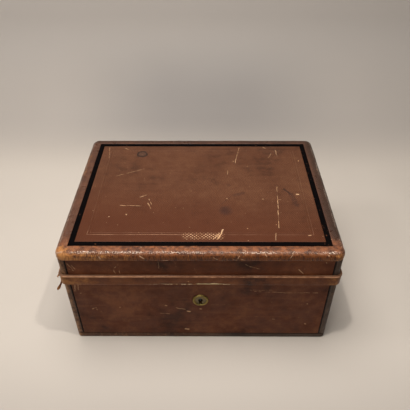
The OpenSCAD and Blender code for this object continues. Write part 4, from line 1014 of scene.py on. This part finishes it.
# %% Brass, steel and silver
def metal(name, dark, light, rough_low, rough_high, tarnish, tarnish_share, middle=None, relief=0.03):
    material, g, shader, mm = start_material(name)
    color = g.mix(g.noise(mm, 0.25, 4), dark, light)
    cover = g.ramp(g.noise(mm, 0.35, 4, 0.65), 0.62 - tarnish_share * 0.4, 0.78 - tarnish_share * 0.4)
    color = g.mix(g.times(cover, 0.8), color, tarnish)
    if middle:
        inner = use_group(g, "Stain", Vector=mm, Middle=middle[0], Radius=middle[1], Edge=1.0)["Mask"]
        color = g.mix(g.times(inner, 0.75), color, middle[2])
    hair = g.noise(g.vector("MULTIPLY", mm, (0.4, 6.0, 6.0)), 1.0, 2)
    rough = g.plus(g.ramp(hair, 0.3, 0.7, rough_low, rough_high), g.times(cover, 0.25))
    join(g, shader, color, rough, g.plus(hair, g.noise(mm, 0.5, 3)), relief)
    shader.inputs["Metallic"].default_value = 1.0
    return material


KEYHOLE = (0, -HALF_D, 69)
old_brass = metal("old_brass", (150, 120, 66), (196, 166, 104), 0.3, 0.45, (96, 84, 50), 0.35)
# The black disc on lock_brass round the keyhole is painted shadow inside the lock.
lock_brass = metal("lock_brass", (120, 98, 56), (160, 134, 84), 0.35, 0.5, (70, 60, 38), 0.5,
                   middle=((0, -105, 67), 8.0, (10, 8, 8)))
escutcheon_brass = metal("escutcheon_brass", (114, 98, 52), (150, 130, 76), 0.34, 0.5, (84, 78, 48), 0.2,
                         middle=(KEYHOLE, 6.4, (98, 90, 78)))
bright_brass = metal("bright_brass", (232, 210, 152), (254, 244, 210), 0.5, 0.7, (176, 142, 80), 0.15)
blued_steel = metal("blued_steel", (60, 62, 74), (104, 104, 112), 0.25, 0.4, (70, 56, 44), 0.3)
old_silver = metal("old_silver", (196, 192, 182), (226, 222, 212), 0.18, 0.3, (112, 98, 76), 0.2)
mirror_silver = metal("mirror_silver", (206, 208, 206), (222, 224, 222), 0.0, 0.012, (150, 146, 136), -0.3,
                      relief=0.001)


# %% Velvet and satin
def velvet(name, deep, bright):
    material, g, shader, mm = start_material(name)
    nap = g.noise(mm, 0.05, 3)
    tuft = g.noise(mm, 3.0, 2)
    color = g.mix(g.ramp(nap, 0.2, 0.75), deep, bright)
    color = g.mix(g.ramp(tuft, 0.4, 0.7, 0.0, 0.35), color, deep)
    bare = g.ramp(g.noise(mm, 0.09, 4), 0.62, 0.75, 0.0, 0.4)
    color = g.mix(bare, color, (150, 84, 80))
    join(g, shader, color, g.ramp(nap, 0.3, 0.7, 0.82, 0.95), tuft, 0.25)
    shader.inputs["Sheen Weight"].default_value = 0.7
    shader.inputs["Sheen Roughness"].default_value = 0.35
    shader.inputs["Sheen Tint"].default_value = srgb(210, 120, 120)
    return material


def satin():
    material, g, shader, mm = start_material("crimson_satin")
    weave = g.add("TexWave", {"Vector": mm, "Scale": 1.4, "Distortion": 0.3}, bands_direction="DIAGONAL").outputs["Fac"]
    cloud = g.noise(mm, 0.04, 3)
    color = g.mix(cloud, (112, 20, 34), (156, 44, 56))
    color = g.mix(g.ramp(weave, 0.2, 0.8, 0.0, 0.2), color, (190, 90, 96))
    join(g, shader, color, g.ramp(cloud, 0.3, 0.7, 0.28, 0.4), weave, 0.03)
    shader.inputs["Sheen Weight"].default_value = 0.25
    return material


crimson_velvet = velvet("crimson_velvet", (74, 9, 19), (118, 19, 34))
crimson_satin = satin()


# %% Glass
def cut_glass():
    material, g, shader, mm = start_material("cut_glass")
    color = g.mix(g.noise(mm, 0.1, 2), (236, 244, 240), (246, 250, 248))
    ripple = g.noise(mm, 0.2, 2)
    join(g, shader, color, g.ramp(ripple, 0.3, 0.7, 0.0, 0.04), ripple, 0.05)
    shader.inputs["Transmission Weight"].default_value = 1.0
    shader.inputs["IOR"].default_value = 1.5
    return material


clear_glass = cut_glass()

# %% [markdown]
# ## Dressing the CAD nodes
# Every CAD node that stays gets its finish here. The imported meshes have points doubled along sharp edges, so a Weld
# comes first, then a small Bevel that catches light along the edges as real leather, board and metal do.

# %% Dress the nodes
FINISH = {
    base_leather: ("front_leather back_leather left_leather right_leather rim_leather lid_rim_leather "
                   "mirror_frame", 0.35),
    lid_side_leather: ("lid_side_leathers", 0.35),
    corner_strip_leather: ("corner_leathers lid_corner_leathers foot_edging", 0.3),
    border_leather: ("lid_black_border", 0.08),
    wood: ("bottom_board front_wall back_wall left_wall right_wall lid_top_board lid_front_wall lid_back_wall "
           "lid_left_wall lid_right_wall tray_bottom", 0.0),
    paper: ("underside_leather", 0.2),
    old_brass: ("lock_bolt hinge_base_leaves hinge_pins case_screws link_plate hinge_lid_leaves lid_screws", 0.1),
    lock_brass: ("lock_plate", 0.1),
    escutcheon_brass: ("escutcheon", 0.12),
    bright_brass: ("lid_band_core", 0.08),
    blued_steel: ("lock_spring drill_pin", 0.0),
    old_silver: ("left_jar_lid right_jar_lid left_bottle_cap right_bottle_cap", 0.25),
    mirror_silver: ("mirror_glass", 0.3),
    crimson_velvet: ("row_partition cell_partitions cell_risers tray_ledges tray_boards tray_dividers", 0.5),
    clear_glass: ("left_jar right_jar left_bottle right_bottle", 0.3),
}
WELD_MM, SHARP_ANGLE = 0.002, 35
for material, (names, bevel) in FINISH.items():
    for name in names.split():
        node = nodes[name]
        node.data.materials.clear()
        node.data.materials.append(material)
        if bevel:
            weld = node.modifiers.new("weld", "WELD")
            weld.merge_threshold = WELD_MM * MM
            rounding = node.modifiers.new("rounding", "BEVEL")
            rounding.width = bevel * MM
            rounding.segments = 2
            rounding.limit_method = "ANGLE"
            rounding.angle_limit = math.radians(SHARP_ANGLE)
            rounding.harden_normals = True
print("dressed", sum(len(names.split()) for names, _ in FINISH.values()), "CAD nodes")

# %% [markdown]
# ## Velvet pads and ring cushions
# In the tray each compartment has a thin velvet pad, and the right back one holds eight stuffed rolls, between which
# rings are pushed. A pad is a closed sheet that swells by a millimetre in its middle. A roll is a tube of cloth, full
# in the middle, flat where it lies and gathered to its ends. They could be simulated as cloth with air inside. At
# this size the result would be the same, so the swell and the gathers are written as formulas.

# %% Velvet pads of the tray
tray_low, tray_high = (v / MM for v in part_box("tray_velvet"))
roll_low_corner, roll_high_corner = (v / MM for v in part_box("ring_rolls"))
DIVIDER_X, DIVIDER_T, REAR_DIVIDER_X, PAD_GAP = 60.0, 2.5, 30.0, 0.35
half = DIVIDER_T / 2
CROSS_DIVIDER_FRONT, CROSS_DIVIDER_BACK = -10.2, -7.7
FRONT_PAD = (tray_low.y, CROSS_DIVIDER_FRONT - PAD_GAP)
BACK_PAD = (CROSS_DIVIDER_BACK + PAD_GAP, tray_high.y)
PADS = [(tray_low.x, -DIVIDER_X - half - PAD_GAP, *FRONT_PAD),
        (-DIVIDER_X + half + PAD_GAP, DIVIDER_X - half - PAD_GAP, *FRONT_PAD),
        (DIVIDER_X + half + PAD_GAP, tray_high.x, *FRONT_PAD),
        (tray_low.x, REAR_DIVIDER_X - half - PAD_GAP, *BACK_PAD),
        (REAR_DIVIDER_X + half + PAD_GAP, tray_high.x, *BACK_PAD)]


def merge(name, parts, smooth_angle=40):
    """One mesh object out of several (points, faces) lists."""
    points, faces = [], []
    for more_points, more_faces in parts:
        shift = len(points)
        points += more_points
        faces += [tuple(i + shift for i in face) for face in more_faces]
    return make_mesh(name, points, faces, None, smooth_angle)


def pad(x0, x1, y0, y1, z0, edge, swell):
    """A thin pad with round edges, swollen in the middle."""
    us = grid_lines(x0, x1, 3.0, (x0 + 0.3, x0 + 1, x0 + 2, x1 - 2, x1 - 1, x1 - 0.3))
    vs = grid_lines(y0, y1, 3.0, (y0 + 0.3, y0 + 1, y0 + 2, y1 - 2, y1 - 1, y1 - 0.3))

    def lift(u, v):
        near = min(u - x0, x1 - u, v - y0, y1 - v)
        across = min((u - x0) * (x1 - u) / ((x1 - x0) / 2) ** 2, (v - y0) * (y1 - v) / ((y1 - y0) / 2) ** 2)
        return edge * (0.35 + 0.65 * math.sqrt(rise(near, 0, 1.6))) + swell * math.sqrt(max(across, 0)) + (
            0.12 * wander(u, v, z0, 14) if near > 1 else 0)

    return slab_parts(us, vs, lambda u, v: True, lift, 0.0, lambda u, v, h: (u, v, z0 + h))[:2]


tray_pads = merge("tray_pads", [pad(x0, x1, y0, y1, tray_low.z, 0.8, 0.9 if i < 4 else 0.0)
                                for i, (x0, x1, y0, y1) in enumerate(PADS)])
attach(tray_pads, "tray")
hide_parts("tray_velvet")
tray_pads.data.materials.append(crimson_velvet)

# %% Ring cushions
RINGS, ALONG, AROUND = 8, 26, 20


def ring_cushion(number):
    pitch = (roll_high_corner.x - roll_low_corner.x) / RINGS
    cx = roll_low_corner.x + pitch * (number + 0.5)
    y0, y1 = roll_low_corner.y + 0.2, roll_high_corner.y - 0.2
    floor_z, top_z = roll_low_corner.z, roll_high_corner.z
    radius = pitch / 2 - 0.08
    points, faces = [], []
    for i in range(ALONG + 1):
        t = i / ALONG
        y = y0 + (y1 - y0) * (0.5 - 0.5 * math.cos(math.pi * t))
        near = min(y - y0, y1 - y)
        full = math.sqrt(rise(near, -0.6, 5.0)) * 0.92 + 0.08
        for k in range(AROUND):
            a = 2 * math.pi * k / AROUND
            gather = 1 - 0.09 * (1 - rise(near, 0, 7)) * (0.5 + 0.5 * math.cos(a * 7 + number))
            r = radius * full * gather * (1 + 0.012 * wander(number * 9, y, a * 3, 4.0))
            x = cx + r * math.copysign(abs(math.cos(a)) ** 0.9, math.cos(a))
            z = floor_z + (top_z - floor_z) * 0.5 + r * math.sin(a) * (top_z - floor_z) / (2 * radius)
            points.append((x, y, max(z, floor_z + 0.05 + 0.4 * (1 - full))))
    for i in range(ALONG):
        a, b = i * AROUND, (i + 1) * AROUND
        faces += [(a + k, b + k, b + (k + 1) % AROUND, a + (k + 1) % AROUND) for k in range(AROUND)]
    faces += [tuple(range(AROUND)), tuple(ALONG * AROUND + k for k in reversed(range(AROUND)))]
    return points, faces


ring_cushions = merge("ring_cushions", [ring_cushion(i) for i in range(RINGS)], 75)
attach(ring_cushions, "tray")
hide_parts("ring_rolls")
ring_cushions.data.materials.append(crimson_velvet)

# %% [markdown]
# ## Linings of the case
# The floor and walls of the case are lined with the same velvet, glued over thin wadding. Each wall has its own sheet,
# and the front one is cut out round the lock. The CAD lining is a plain solid, so it's replaced by sheets with soft
# edges that stay in its place.

# %% Case linings
floor_low, floor_high = (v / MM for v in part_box("floor_lining"))
wall_low, wall_high = (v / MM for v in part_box("wall_lining"))
ROW_BOARD = tuple(v.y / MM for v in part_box("row_partition"))
lock_low, lock_high = (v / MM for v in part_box("lock_plate"))
floor_xs = grid_lines(floor_low.x, floor_high.x, 5.0)
floor_ys = grid_lines(floor_low.y, floor_high.y, 5.0, ROW_BOARD)
floor_thick = floor_high.z - floor_low.z


def floor_lift(u, v):
    free = rise(min(u - floor_low.x, floor_high.x - u, v - floor_low.y, ROW_BOARD[0] - v), 1.0, 14.0)
    return free * (0.35 + 0.15 * wander(u, v, 0, 30))


floor_cloth = merge("floor_cloth", [slab_parts(floor_xs, floor_ys, lambda u, v: True, floor_lift, floor_thick - 0.02,
                                               lambda u, v, h: (u, v, floor_high.z + h))[:2]])
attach(floor_cloth, "base")
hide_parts("floor_lining")
floor_cloth.data.materials.append(crimson_velvet)


def lining_sheets(low, high, thick, hole=None):
    """Four thin sheets on the inner faces of a frame: low and high bound the outside of the sheets."""
    z0, z1 = low.z, high.z
    parts = []
    zs = grid_lines(z0, z1, 4.0, (z1 - 0.8, z1 - 0.3, z0 + 0.4) + ((hole[2],) if hole else ()))

    def soft(u, v):
        return -0.3 * (1 - rise(z1 - v, 0, 0.8)) - 0.1 * (0.5 + 0.5 * wander(u, v, 0, 18))

    sides = [
        (low.x, high.x, lambda u, v, h: (u, low.y + thick + h, v), -1),
        (low.x, high.x, lambda u, v, h: (u, high.y - thick - h, v), 1),
        (low.y + thick, high.y - thick, lambda u, v, h: (low.x + thick + h, u, v), 1),
        (low.y + thick, high.y - thick, lambda u, v, h: (high.x - thick - h, u, v), -1)]
    for number, (u0, u1, put, turn) in enumerate(sides):
        cut = hole if hole and number == 0 else None
        us = grid_lines(u0, u1, 4.0, cut[:2] if cut else ())
        keep = (lambda u, v: not (cut[0] < u < cut[1] and v > cut[2])) if cut else (lambda u, v: True)
        points, faces, _ = slab_parts(us, zs, keep, soft, thick - 0.05, put)
        parts.append((points, faces if turn > 0 else [tuple(reversed(face)) for face in faces]))
    return parts


LOCK_HOLE = (lock_low.x - 1.0, lock_high.x + 1.0, lock_low.z - 1.0)
wall_cloth = merge("wall_cloth", lining_sheets(wall_low, wall_high, 1.0, LOCK_HOLE))
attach(wall_cloth, "base")
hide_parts("wall_lining")
wall_cloth.data.materials.append(crimson_velvet)

# %% [markdown]
# ## Satin in the lid
# The lid is lined with crimson satin, gathered into soft folds round the mirror. The folds are ripples across the
# strip between the mirror's frame and the wall, with uneven spacing as fingers make it.

# %% Satin
satin_low, satin_high = (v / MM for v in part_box("lid_lining"))
frame_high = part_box("mirror_frame")[1] / MM
CEILING = frame_high.z
UNDER = 1.0


def satin_keep(u, v):
    return abs(u) > frame_high.x - UNDER or abs(v) > frame_high.y - UNDER


def satin_lift(u, v):
    over_x, over_y = abs(u) - frame_high.x, abs(v) - frame_high.y
    wide_x, wide_y = satin_high.x - 1.0 - frame_high.x, satin_high.y - 1.0 - frame_high.y
    tx, ty = over_x / wide_x, over_y / wide_y
    t = min(max(tx, ty), 1.0)
    along = v if tx > ty else u
    puff = math.sin(math.pi * min(max(t, 0.0), 1.0)) ** 0.6
    fold = math.sin(2 * math.pi * along / 6.4 + 1.6 * wander(u, v, 0, 22, 1.0))
    return 0.15 + puff * (1.0 + 0.55 * fold + 0.35 * wander(u, v, 0, 16, 5.0))


satin_us = grid_lines(satin_low.x + 1, satin_high.x - 1, 1.25, (-frame_high.x + UNDER, frame_high.x - UNDER))
satin_vs = grid_lines(satin_low.y + 1, satin_high.y - 1, 1.25, (-frame_high.y + UNDER, frame_high.y - UNDER))
satin_roof = slab_parts(satin_us, satin_vs, satin_keep, satin_lift, 0.5, lambda u, v, h: (-u, v, CEILING - h))[:2]
strip_high = Vector((satin_high.x, satin_high.y, CEILING))
satin_lining = merge("satin_lining", [satin_roof] + lining_sheets(satin_low, strip_high, 1.0))
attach(satin_lining, "lid")
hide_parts("lid_lining")
satin_lining.data.materials.append(crimson_satin)

# %% [markdown]
# ## Floor and backdrop
# The box stands on a plain pale sheet that runs level behind it and then sweeps up into a wall. One curved sheet has
# no corner line to show. It's clear from behind, so the box can be looked at from the back and from below too. The
# sheet is not attached to any body of the object.

# %% Floor
FLOOR_HALF, BEND_Y, BEND_R, WALL_LEAN, WALL_RISE = 12000, 300.0, 210.0, 80, 780
sweep_line = [(-FLOOR_HALF, 0), (-2500, 0), (200, 0), (280, 0)]
bend_angles = [math.radians(6 * i) for i in range(1, 15)]
sweep_line += [(BEND_Y + BEND_R * math.sin(a), BEND_R * (1 - math.cos(a))) for a in bend_angles]
last_y, last_z = sweep_line[-1]
sweep_line += [(last_y + WALL_LEAN * i, last_z + WALL_RISE * i) for i in range(1, 7)]
floor_points = [(x, y, z) for y, z in sweep_line for x in (-FLOOR_HALF, FLOOR_HALF)]
floor_faces = [(2 * i, 2 * i + 1, 2 * i + 3, 2 * i + 2) for i in range(len(sweep_line) - 1)]
floor = make_mesh("floor", floor_points, floor_faces)

floor_paint, g, shader, mm = start_material("floor_paint")
clouds = g.noise(mm, 0.004, 3)
floor_color = g.mix(clouds, (190, 181, 170), (202, 193, 182))
# Painted shade and shadow: the sheet darkens toward the front, is darker at the bend behind the box and most in the
# middle there, where the box's shadow falls, and the wall above is a darker grey than the floor.
place = g.split(mm)
wide = g.math("ABSOLUTE", place["X"])
painted_back_shade = g.mix(g.ramp(wide, 60.0, 320.0), (147, 141, 136), (170, 162, 154))
floor_color = g.mix(g.ramp(place["Y"], -90.0, -340.0), floor_color, (161, 153, 145))
floor_color = g.mix(g.ramp(place["Y"], 230.0, 400.0), floor_color, painted_back_shade)
floor_color = g.mix(g.ramp(place["Z"], 40.0, 170.0), floor_color, (176, 169, 162))
join(g, shader, floor_color, g.ramp(clouds, 0.3, 0.7, 0.72, 0.88), g.noise(mm, 0.3, 4), 0.05)
clear = g.add("BsdfTransparent")
from_behind = g.add("NewGeometry").outputs["Backfacing"]
one_sided = g.add("MixShader", {0: from_behind, 1: shader.outputs[0], 2: clear.outputs[0]})
out = next(n for n in floor_paint.node_tree.nodes if n.type == "OUTPUT_MATERIAL")
g.give(out.inputs["Surface"], one_sided.outputs[0])
floor.data.materials.append(floor_paint)

# %% [markdown]
# ## Light
# Shadows on the photograph's floor tell where its lamps were. Lines drawn from the lid's corners to the corners of the
# shadows meet a little over half a metre above the floor, just in front of the box: one small lamp is there. The rest
# of the light is broad and soft and comes from above. A weak fill from the left front lifts the front, and a lamp high
# on the left lights that side. The glints along the roll are painted highlights in its leather.


# %% Lights
def area_light(name, at, aim, size, power, color):
    data = bpy.data.lights.new(name, "AREA")
    data.shape, data.size, data.energy, data.color = "DISK", size, power, color
    light = bpy.data.objects.new(name, data)
    light.location = Vector(at)
    light.rotation_euler = (Vector(aim) - Vector(at)).to_track_quat("-Z", "Y").to_euler()
    bpy.context.collection.objects.link(light)


area_light("ceiling", (-0.15, 0.0, 1.25), (-0.04, 0.05, 0), 0.9, 13.4, (1.0, 0.97, 0.94))
area_light("lamp", (0.03, -0.165, 0.56), (0.03, -0.165, 0), 0.02, 0.88, (1.0, 0.95, 0.9))
area_light("left_fill", (-1.3, -2.4, 1.3), (0, 0, 0.05), 1.6, 18, (1.0, 0.96, 0.92))
area_light("side_lamp", (-0.75, -0.1, 0.95), (0, 0, 0.1), 0.22, 2.0, (1.0, 0.97, 0.95))
world = bpy.data.worlds.new("room")
bpy.context.scene.world = world
world.use_nodes = True
world.node_tree.nodes["Background"].inputs["Color"].default_value = (0.95, 0.93, 0.9, 1)
world.node_tree.nodes["Background"].inputs["Strength"].default_value = 0.12
